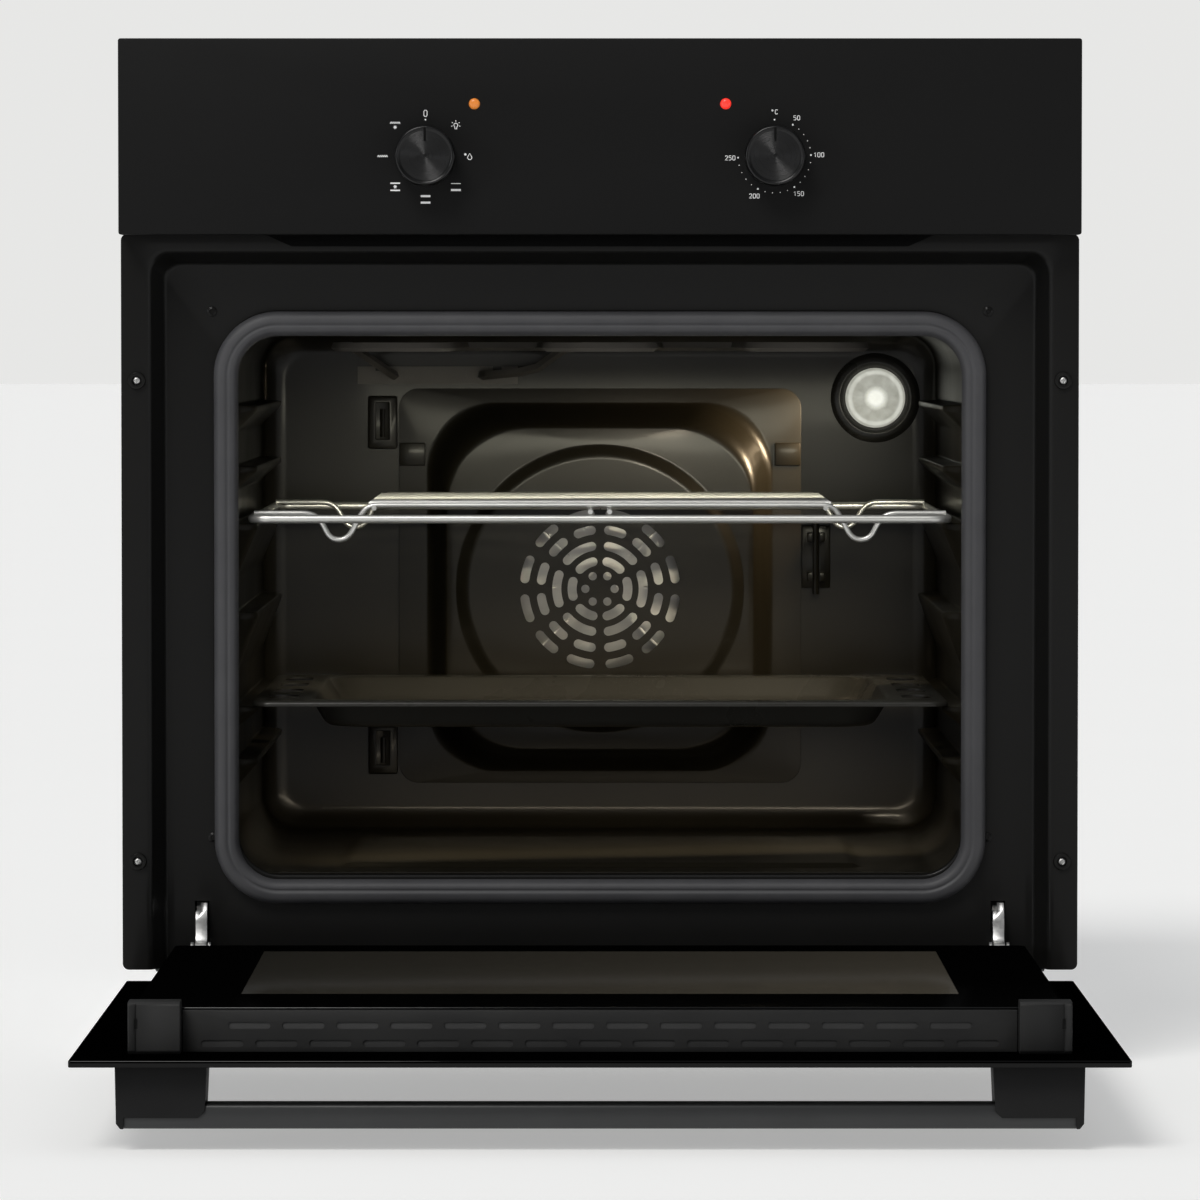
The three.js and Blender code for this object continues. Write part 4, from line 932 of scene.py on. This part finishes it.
def cross_wire(depth):
    """Wire from rail to rail that dips into a U on both sides of the deck."""
    right = [(146, 291.4), (152, 283), (158.5, 269.8), (169.5, 269.8), (175, 281), (181, 286.4),
             (RAIL - 1, 286.4)]
    line = [(-x, depth, z) for x, z in reversed(right)] + [(x, depth, z) for x, z in right]
    return wire("cross_wire", softened(line, 6.5, 6), 1.75, 12)


first, last = near + 19, far - 29
pieces += [cross_wire(first), cross_wire(last)]
DECK_WIRES = 12
for depth in np.linspace(first, last, DECK_WIRES + 2)[1:-1]:
    pieces.append(wire("deck_wire", [(-146, depth, 291.7), (146, depth, 291.7)], 1.6, 10))
for x in (-142, 142):
    pieces.append(wire("edge_bearer", [(x, first - 2, 289.6), (x, last + 2, 289.6)], 1.7, 10))
for x in (-6, 6):
    pieces.append(wire("middle_bearer", [(x, near - 1, 287.7), (x, far, 287.7)], 1.7, 10))
place(merged("shelf_wires", pieces), "wire_shelf", "chrome_wire", ["wire_shelf"], 50)
print("wire shelf", TRIANGLES["shelf_wires"], "triangles")

# %% [markdown]
# ## Baking tray
# A tray is drawn from one sheet: basin, flange and a rim rolled down for stiffness. Four holes in each
# flange let a hand or a hook take hold.

# %% Tray
tray_low, tray_high = corner_box("baking_tray")
RIM = tray_high[2]


def tray_row(half, inset, radius, z):
    return (half, tray_low[1] + inset, tray_high[1] - inset, radius, z)


inside = [tray_row(110, 90, 20, RIM - 17), tray_row(172, 30, 22, RIM - 17), tray_row(181.5, 20, 26, RIM - 0.6),
          tray_row(183.5, 18, 27, RIM), tray_row(217.6, 1.4, 11, RIM), tray_row(219, 0, 12, RIM - 1.6),
          tray_row(219, 0, 12, RIM - 3.4)]
shrink = [1, 1, 1.2, -1, -1, -1, 0]
drop = [0, 0, 1, 1, 1, 1, 1]
outside = [(half - s, front + s, rear - s, radius, z - d)
           for (half, front, rear, radius, z), s, d in zip(inside[::-1], shrink, drop)]
reach = [0, 5, 1.2, 1.6, 1.2, 0.8, 0.3, 0.3, 0.8, 1, 1.2, 1, 5, 0]
tray = skin("tray_pressing", to_level(outlines(softened([*inside, *outside], reach, 5), 14)))
grips = []
for side in (-1, 1):
    for i in range(4):
        centre = (tray_low[1] + tray_high[1]) / 2 + (i - 1.5) * 74
        oval = outlines([(9.5, centre - 22, centre + 22, 9.4, 0)], 8)[0][:, [0, 2]] + [side * 201, 0]
        grips.append(prism("grip", oval, "z", RIM - 4, RIM + 2))
carved(tray, grips)
place(tray, "baking_tray", "tray_enamel", ["baking_tray"], 45)
print("tray", TRIANGLES["tray_pressing"], "triangles")

# %% [markdown]
# ## Folded and moulded parts from the frame
# Many parts of the frame already have the right form and lack only what a press or a mould leaves: an
# eased edge. Each is copied, its flat triangles joined into faces, and its edges rounded.

# %% Eased copies
def copy_of(node):
    """A copy of a CAD node's mesh with its loose triangles joined and its flat faces whole."""
    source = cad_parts[node]
    work = bmesh.new()
    work.from_mesh(source.data)
    work.transform(source.matrix_world)
    bmesh.ops.remove_doubles(work, verts=work.verts, dist=2e-6)
    bmesh.ops.dissolve_limit(work, angle_limit=math.radians(0.6), verts=work.verts, edges=work.edges)
    bmesh.ops.recalc_face_normals(work, faces=work.faces)
    mesh = bpy.data.meshes.new(node + "_eased")
    work.to_mesh(mesh)
    work.free()
    made = bpy.data.objects.new(mesh.name, mesh)
    bpy.context.scene.collection.objects.link(made)
    return made


def eased(node, bevel, segments=3):
    """The node's copy with every sharp edge rounded to the bevel's width."""
    return rounded(copy_of(node), bevel, segments, 40)


EASED = [
    ("door_column_left", "door", 0.8, "black_plastic"),
    ("door_column_right", "door", 0.8, "black_plastic"),
    ("door_bottom_strip", "door", 0.8, "black_plastic"),
    ("hinge_body_left", "door", 0.4, "zinc"),
    ("hinge_body_right", "door", 0.4, "zinc"),
    ("hinge_arm_left", "chassis", 0.5, "zinc"),
    ("hinge_arm_right", "chassis", 0.5, "zinc"),
    ("handle_post_left", "door", 1.3, "black_plastic"),
    ("handle_post_right", "door", 1.3, "black_plastic"),
    ("handle_bar", "door", 0.9, "bar_metal"),
    ("air_deflector", "chassis", 0.3, "panel_black"),
    ("terminal_block", "chassis", 0.8, "black_plastic"),
    ("function_switch", "chassis", 0.8, "black_plastic"),
    ("thermostat", "chassis", 0.6, "zinc"),
    ("door_outer_glass", "door", 0.7, "black_glass"),
    ("door_middle_glass", "door", 0.5, "clear_glass"),
    ("door_inner_glass", "door", 0.7, "door_pane"),
    ("fan_impeller", "fan_impeller", 0.2, "fan_steel"),
    ("fan_motor", "chassis", 0.5, "zinc"),
]
for node, body, bevel, material in EASED:
    made = eased(node, bevel)
    if node.startswith("hinge_arm"):
        low = corner_box(node)[0]
        carved(made, [slab("relief", (low[0] - 1, low[1] - 1, 38.5), (low[0] + 3, 44, 46))])
    place(made, body, material, [node], 40)
SMOOTH = [
    ("grill_element", "chassis", "heater"), ("bottom_element", "chassis", "heater"),
    ("sensor_bulb", "chassis", "cavity_enamel"), ("hinge_rod_left", "hinge_rod_left", "zinc"),
    ("hinge_rod_right", "hinge_rod_right", "zinc"), ("cooling_fan_rotor", "cooling_fan_rotor", "fan_steel"),
    ("cooling_fan_housing", "chassis", "galvanised"), ("cooling_fan_motor", "chassis", "zinc"),
]
for node, body, material in SMOOTH:
    place(copy_of(node), body, material, [node], 35)
refinish("wool", "insulation_wrap")
refinish("galvanised", "air_duct", "casing_base")
print(len(EASED), "eased parts and", len(SMOOTH), "smooth ones")

# %% [markdown]
# ## Vent strip and corner blocks
# Along the top edge of the door a strip lets cooling air through two rows of slots, the lower row
# shifted by half a pitch. One moulded block closes each end, with a thin split line on its face.

# %% Door top edge
strip_low, strip_high = corner_box("door_vent_strip")
PITCH = 30.5


def long_slot(x, z, length=24.0, height=4.0):
    """Cutter for one round-ended slot about (x, z)."""
    half = height / 2
    outline = outlines([(length / 2, z - half, z + half, half - 0.05, 0)], 6)[0][:, [0, 2]] + [x, 0]
    return prism("slot", outline, "depth", strip_low[1] - 2, strip_low[1] + 2.6)


strip = slab("vent_strip", strip_low, strip_high, 0.5)
hollow = slab("hollow", (strip_low[0] + 2, strip_low[1] + 2, strip_low[2] - 1),
              (strip_high[0] - 2, strip_high[1] + 1, strip_high[2] - 2))
upper = [long_slot((i - 6.5) * PITCH, 8.4) for i in range(14)]
lower = [long_slot((i - 7) * PITCH, -1.8) for i in range(15)]
carved(strip, [hollow])
carved(strip, upper + lower)
baffle = slab("strip_baffle", (strip_low[0] + 1, strip_low[1] + 0.9, -6),
              (strip_high[0] - 1, strip_low[1] + 1.9, 15), 0.2)
place(strip, "door", "door_trim", ["door_vent_strip"])
place(baffle, "door", "strip_baffle")

for node, side in (("door_corner_left", -1), ("door_corner_right", 1)):
    low, high = corner_box(node)
    block = eased(node, 0.6)
    seam_x = low[0] + 4.6 if side < 0 else high[0] - 4.6
    seam = slab("seam", (seam_x - 0.25, low[1] - 1, low[2] - 1), (seam_x + 0.25, low[1] + 0.9, high[2] + 1))
    notch = slab("notch", (seam_x - 1.0, low[1] - 1, 7.5), (seam_x + 1.0, low[1] + 3, 13.5))
    carved(block, [seam, notch])
    place(block, "door", "door_trim", [node])
print("vent strip with", len(upper) + len(lower), "slots")

# %% [markdown]
# ## Control panel, knobs and lights
# The panel is a shallow moulded tray: its edges turn back and it is hollow behind. The printed scale
# is a thin raised ink, drawn with strokes.

# %% Panel
panel_low, panel_high = corner_box("control_panel")
shell = slab("panel_shell", panel_low, panel_high, 1.4)
carved(shell, [slab("room", panel_low + [2.4, 2.6, 2.4], panel_high - [2.4, -2, 2.4])])
LIGHTS = {node: middle_of(node) for node in ("heating_light", "power_light")}
bores = [(spot, 3.6) for spot in KNOBS.values()] + [(spot, 3.55) for spot in LIGHTS.values()]
carved(shell, [skin("bore", rings([(radius, -2), (radius, 5)], spot, 32)) for spot, radius in bores])
place(shell, "chassis", "panel_black", ["control_panel"])


GROOVES = {"from": 1.0, "to": 15.4, "pitch": 0.6, "deep": 0.05}


def knob_rows():
    """Turned cap: a face of fine round grooves, a bright lip, a straight wall, a skirt and the shaft.

    A groove's depth is a cosine of the radius, so its slope sweeps through every small angle twice.
    """
    steps = int((GROOVES["to"] - GROOVES["from"]) / GROOVES["pitch"] * 8)
    radius = np.linspace(GROOVES["from"], GROOVES["to"], steps)
    depth = -20.3 - GROOVES["deep"] * np.cos((radius - GROOVES["from"]) * 2 * np.pi / GROOVES["pitch"])
    face = np.column_stack([radius, depth])
    side = [(16.0, -20.3), (16.9, -20.9), (18.0, -20.6), (18.5, -19.4), (18.5, -5.5), (18.1, -4.9),
            (18.1, -4.2), (18.5, -3.6), (18.5, -0.8), (2.9, -0.8), (2.9, 27.8), (0.3, 27.8)]
    reach = [0, 0.5, 0.5, 0.6, 0.3, 0.2, 0.2, 0.3, 0.3, 0.3, 0.4, 0]
    return np.vstack([[(0.2, -20.3)], face, softened(side, reach, 4)])


for node, spot in KNOBS.items():
    cap = skin(node + "_cap", rings(knob_rows(), spot, 128))
    place(cap, node, node, [node], 45)
    x, z = spot
    line = slab(node + "_pointer", (x - 0.7, -20.95, z + 9.0), (x + 0.7, -20.1, z + 17.4), 0.2)
    place(line, node, "mark_black")

for node, spot in LIGHTS.items():
    rows = softened([(0.2, -0.9), (2.0, -0.7), (3.2, 0.3), (3.4, 1.2), (3.4, 15.8), (0.2, 15.8)],
                    [0, 0.8, 0.5, 0.3, 0.4, 0], 4)
    lens_name = "orange_lens" if node == "heating_light" else "red_lens"
    place(skin(node + "_lens", rings(rows, spot, 32)), "chassis", lens_name, [node], 50)
print("panel with", len(KNOBS), "knobs and", len(LIGHTS), "lights")

# %% [markdown]
# ## Printed scale
# Each mark is a few strokes in a small square about its middle. A stroke is a fine wire pressed flat, so
# the ink stands a few hundredths of a millimetre proud, as screen print does.

# %% Strokes
def circle(x, z, radius, start=0.0, end=360.0, steps=20):
    turn = np.radians(np.linspace(start, end, steps))
    return np.column_stack([x + radius * np.cos(turn), z + radius * np.sin(turn)])


def bar(z, thick=0.3, half=3.0):
    """Level line; a thick one is drawn as several fine strokes side by side."""
    count = max(int(round(thick / 0.3)), 1)
    heights = [z + (i - (count - 1) / 2) * 0.4 for i in range(count)]
    return [[(-half, height), (half, height)] for height in heights]


def spokes(x, z, start, end, degrees):
    """Strokes along a radius, from `start` to `end` off the point (x, z)."""
    turns = [(math.cos(a), math.sin(a)) for a in np.radians(degrees)]
    return [[(x + r * c, z + r * s) for r in (start, end)] for c, s in turns]


def star(x, z, reach=1.1):
    """Fan or snow sign: three strokes through one point."""
    return spokes(x, z, -reach, reach, [0, 60, 120])


def wave(z, half=3.0, tall=0.45, peaks=5):
    """Zigzag: the sign of a heating coil."""
    x = np.linspace(-half, half, 2 * peaks + 1)
    return [[(a, z + (tall if i % 2 else -tall)) for i, a in enumerate(x)]]


RAYS = spokes(0, 0.6, 2.1, 2.9, [-15, 35, 90, 145, 195])
ZERO = [(-1.0, -1.2), (-0.5, -1.9), (0.5, -1.9), (1.0, -1.2), (1.0, 1.2), (0.5, 1.9), (-0.5, 1.9), (-1.0, 1.2)]
MARKS = [
    [[*ZERO, ZERO[0]]],
    [circle(0, 0.5, 1.2, -55, 235), [(-0.6, -0.5), (-0.6, -1.8), (0.6, -1.8), (0.6, -0.5)], *RAYS],
    [circle(0.8, -0.7, 1.3, -200, 20), [(-0.42, -0.3), (0.8, 1.9), (2.02, -0.3)], *star(-1.9, 1.2, 0.8)],
    [*bar(2.0), *bar(-2.0, 0.9)],
    [*bar(2.0, 0.9), *bar(-2.0, 0.9)],
    [*bar(2.2, 0.6), *bar(-2.2, 0.6), *star(0, 0)],
    [*wave(0), *wave(0.3)],
    [*wave(1.8), *wave(2.1), *star(0, -0.8)],
]
DIGITS = {
    "0": [[(0.2, 0), (1.2, 0), (1.5, 0.4), (1.5, 2.2), (1.2, 2.6), (0.3, 2.6), (0, 2.2), (0, 0.4), (0.3, 0)]],
    "1": [[(0.2, 2.0), (0.9, 2.6), (0.9, 0)]],
    "2": [[(0, 2.1), (0.3, 2.6), (1.2, 2.6), (1.5, 2.1), (1.4, 1.5), (0, 0), (1.5, 0)]],
    "5": [[(1.4, 2.6), (0.1, 2.6), (0, 1.5), (1.1, 1.5), (1.5, 1.0), (1.5, 0.5), (1.1, 0), (0, 0)]],
    "C": [[(1.5, 2.2), (1.2, 2.6), (0.3, 2.6), (0, 2.2), (0, 0.4), (0.3, 0), (1.2, 0), (1.5, 0.4)]],
    "o": [circle(0.6, 2.2, 0.42)],
}


def stroke(points, at, half_width=0.27, flat=0.12):
    """Wire along (x, z) points about `at`, pressed flat onto the panel's face."""
    path = [(x, 0, z) for x, z in np.asarray(points, float) + at]
    return squeezed(wire("stroke", path, half_width, 8), 1, 0, flat)


def around(middle, degrees, radius):
    """Point at an angle clockwise from the top."""
    turn = math.radians(degrees)
    return np.array([middle[0] + radius * math.sin(turn), middle[1] + radius * math.cos(turn)])


def label(text, at):
    """Digits set side by side and centred on a point."""
    pitch = 2.3
    width = pitch * len(text) - 0.8
    return [stroke(line, at + [pitch * i - width / 2, -1.3], 0.24) for i, letter in enumerate(text)
            for line in DIGITS[letter]]


def dot(at, radius):
    """Flat round dot of ink."""
    return skin("dot", rings([(radius, 0.03), (radius, -0.03), (radius * 0.6, -0.05)], at, 20))


# %% Draw the scales
switch_middle, heat_middle = KNOBS["function_knob"], KNOBS["thermostat_knob"]
mark_turn = 360 / len(MARKS)
ink = [stroke(line, around(switch_middle, mark_turn * i, 26.5))
       for i, mark in enumerate(MARKS) for line in mark]
majors = [30, 88, 147, 207, 268]
for text, degrees in zip(("50", "100", "150", "200", "250"), majors):
    ink.append(dot(around(heat_middle, degrees, 22.5), 0.55))
    ink += label(text, around(heat_middle, degrees, 27.4))
for start, end in zip(majors, majors[1:]):
    ink += [dot(around(heat_middle, start + (end - start) * i / 5, 22.5), 0.3) for i in range(1, 5)]
ink += [dot(around(middle, 0, 22.6), 0.5) for middle in (switch_middle, heat_middle)]
ink += label("oC", around(heat_middle, 0, 27.4))
# The ink's finish carries a painted glow, though the ink is no lamp.
place(merged("panel_print", ink), "chassis", "print_white_painted_glow", (), 60)
print("printed scale:", TRIANGLES["panel_print"], "triangles")

# %% [markdown]
# ## Screws and casing
# The casing's sheets are stiffened by long beads. A bead is half of a flattened tube that grows out of
# the sheet. The screws that hold the frame to a cabinet have a pan head and a cross recess.

# %% Screws
for i, (x, z) in SCREWS.items():
    low, high = corner_box(f"fixing_screw_{i}")
    tip, end = low[1], high[1]
    head = softened([(0.2, tip), (1.6, tip + 0.1), (2.4, tip + 0.9), (2.7, tip + 2.2), (1.6, tip + 2.3),
                     (1.6, end - 4), (0.2, end)], 0.5, 3)
    screw = skin("screw", rings(head, (x, z), 32))
    arms = [slab("arm", (x - a, tip - 1, z - b), (x + a, tip + 1.1, z + b))
            for a, b in ((1.5, 0.28), (0.28, 1.5))]
    carved(screw, arms[:1])
    carved(screw, arms[1:])
    screw.name = f"screw_{i}"
    place(screw, "chassis", "zinc", [f"fixing_screw_{i}"])


# %% Casing
BEAD_CREASE = 12  # degrees: the beads' feet stay sharp, or their shading runs out over the flat sheet


def bead(points, normal_axis, radius, flat=0.28):
    """Stiffening bead: a round tube squeezed along the sheet's normal."""
    return squeezed(wire("bead", points, radius, 24), normal_axis, points[0][normal_axis], flat)


def casing_sheet(node, lines, normal_axis, radius=7.0):
    """The node's eased copy with a bead along each line."""
    beads = [bead(line, normal_axis, radius) for line in lines]
    sheet = merged(node + "_sheet", [eased(node, 0.3, 2), *beads])
    place(sheet, "chassis", "galvanised", [node], BEAD_CREASE)


for node, x in (("casing_left", -277.6), ("casing_right", 277.6)):
    lines = [[(x, 90, z), (x, 500, z)] for z in (110, 205, 300, 395)]
    casing_sheet(node, [*lines, [(x, 110, 500), (x, 350, 500)], [(x, 535, 90), (x, 535, 480)]], 0)
casing_sheet("casing_top", [[(x, 90, 571.4), (x, 290, 571.4)] for x in (-210, -140, 140, 210)], 2)
lines = [[(x, 562.7, z), (x, 562.7, z + 150)] for x, z in ((-250, 60), (-250, 260), (250, 120), (250, 320))]
casing_sheet("casing_back", lines, 1, 5)
print("casing done")

# %% [markdown]
# ## Stage and light
# A black glossy object shows its shape only in what it reflects, so the light is broad and soft and the
# floor is pale. The world is dim for the surfaces and pale for the camera, so that the blacks stay black.

# %% Stage
def painted(name, base, rough, glow):
    """Matt paint; a little of its own light stands in for the bounce of a white studio."""
    shader = Shader(name, Specular_IOR_Level=0.1, Emission_Strength=glow)
    mottle = shader.noise(3.0, 4.0)
    shader.feed("Base Color", shader.mix(mottle, *shades(base, 1, 0.97)))
    shader.feed("Emission Color", shader.mix(mottle, *shades(base, 1, 0.99)))
    shader.feed("Roughness", mottle * 0.1 + rough)
    return shader.material


MATERIALS["floor_paint"] = painted("floor_paint", (0.72, 0.72, 0.715), 0.85, 0.55)
MATERIALS["plinth_paint"] = painted("plinth_paint", (0.80, 0.80, 0.79), 0.7, 0.12)
floor = slab("studio_floor", (-60000, -60000, -90), (60000, 60000, -60))
plinth = slab("plinth", (-268, 62, -60), (268, 560, -0.6), 1.5)
for thing, finish in ((floor, "floor_paint"), (plinth, "plinth_paint")):
    thing.data.materials.append(MATERIALS[finish])


def lamp_light(name, kind, power, color, location, aim=None, **settings):
    data = bpy.data.lights.new(name, kind)
    data.energy = power
    data.color = color
    for key, value in settings.items():
        setattr(data, key, value)
    made = bpy.data.objects.new(name, data)
    made.location = location
    made.visible_camera = False
    if aim is not None:
        made.rotation_euler = (Vector(aim) - Vector(location)).to_track_quat("-Z", "Y").to_euler()
    bpy.context.scene.collection.objects.link(made)
    return made


def at(x, depth, z):
    return Vector((x * MM, (depth + FACE_Y) * MM, z * MM))


OVEN = (0, 0, 0.2)
WARM, BULB, SKY = (1.0, 0.87, 0.66), (1.0, 0.76, 0.48), (0.96, 0.98, 1.0)
for name, power, color, location, width in (
        ("key", 1.55, (1.0, 0.985, 0.96), (-2, -4, 5), 25),
        ("left", 0.34, SKY, (-5, -3.4, 1.2), 14),
        ("right", 0.16, SKY, (5, -3.4, 0.6), 14)):
    lamp_light(name, "SUN", power, color, location, OVEN, angle=math.radians(width))
STRIP_LIGHT = {"shape": "RECTANGLE", "size": 0.38, "size_y": 0.03}
lamp_light("over_shelf", "AREA", 0.115, (1.0, 0.96, 0.76), at(20, 150, 350), at(0, 300, 288),
           spread=math.radians(60), **STRIP_LIGHT)
lamp_light("on_cover", "SPOT", 1.0, WARM, at(60, 90, 385), at(15, 403, 285),
           spot_size=math.radians(32), spot_blend=1.0, shadow_soft_size=0.02)
lamp_light("over_tray", "AREA", 0.34, WARM, at(20, 200, 268), at(0, 290, 160),
           spread=math.radians(80), **STRIP_LIGHT)
lamp_light("over_floor", "AREA", 0.55, WARM, at(20, 130, 147), at(0, 210, 62),
           spread=math.radians(90), **STRIP_LIGHT)
lamp_light("fan_glow", "AREA", 0.0042, (1.0, 0.98, 0.95), at(0, 404.5, FAN_Z), at(0, 440, FAN_Z),
           shape="DISK", size=0.11)
# The spill stands for the lamp's own light on the fan cover, so it lights that piece only.
spill = lamp_light("lamp_spill", "POINT", 1.7, BULB, at(LAMP[0] - 4, 396, LAMP[1] - 6), shadow_soft_size=0.018)
lit_by_spill = bpy.data.collections.new("lit_by_spill")
lit_by_spill.objects.link(bpy.data.objects["fan_cover_pressing"])
spill.light_linking.receiver_collection = lit_by_spill

world = bpy.data.worlds.new("studio")
world.use_nodes = True
bpy.context.scene.world = world
tree = world.node_tree
tree.nodes.clear()
paths, direction, height, rise, dim, pale, choice, output = (tree.nodes.new("ShaderNode" + kind) for kind in (
    "LightPath", "TexCoord", "SeparateXYZ", "MapRange", "Background", "Background", "MixShader", "OutputWorld"))
rise.interpolation_type = "SMOOTHSTEP"
for socket, value in (("From Min", 0.12), ("From Max", 0.75), ("To Min", 0.04), ("To Max", 0.36)):
    rise.inputs[socket].default_value = value
dim.inputs["Color"].default_value = (0.95, 0.97, 1.0, 1.0)
pale.inputs["Color"].default_value = (0.80, 0.80, 0.79, 1.0)
pale.inputs["Strength"].default_value = 1.0
for start, end in (
        (direction.outputs["Generated"], height.inputs[0]),
        (height.outputs["Z"], rise.inputs["Value"]),
        (rise.outputs["Result"], dim.inputs["Strength"]),
        (paths.outputs["Is Camera Ray"], choice.inputs[0]),
        (dim.outputs[0], choice.inputs[1]),
        (pale.outputs[0], choice.inputs[2]),
        (choice.outputs[0], output.inputs["Surface"])):
    tree.links.new(start, end)
print("stage and lights ready")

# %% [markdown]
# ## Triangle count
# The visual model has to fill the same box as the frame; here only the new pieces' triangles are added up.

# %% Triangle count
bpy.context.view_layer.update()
print("triangles in new pieces:", sum(TRIANGLES.values()), "largest:", max(TRIANGLES, key=TRIANGLES.get))
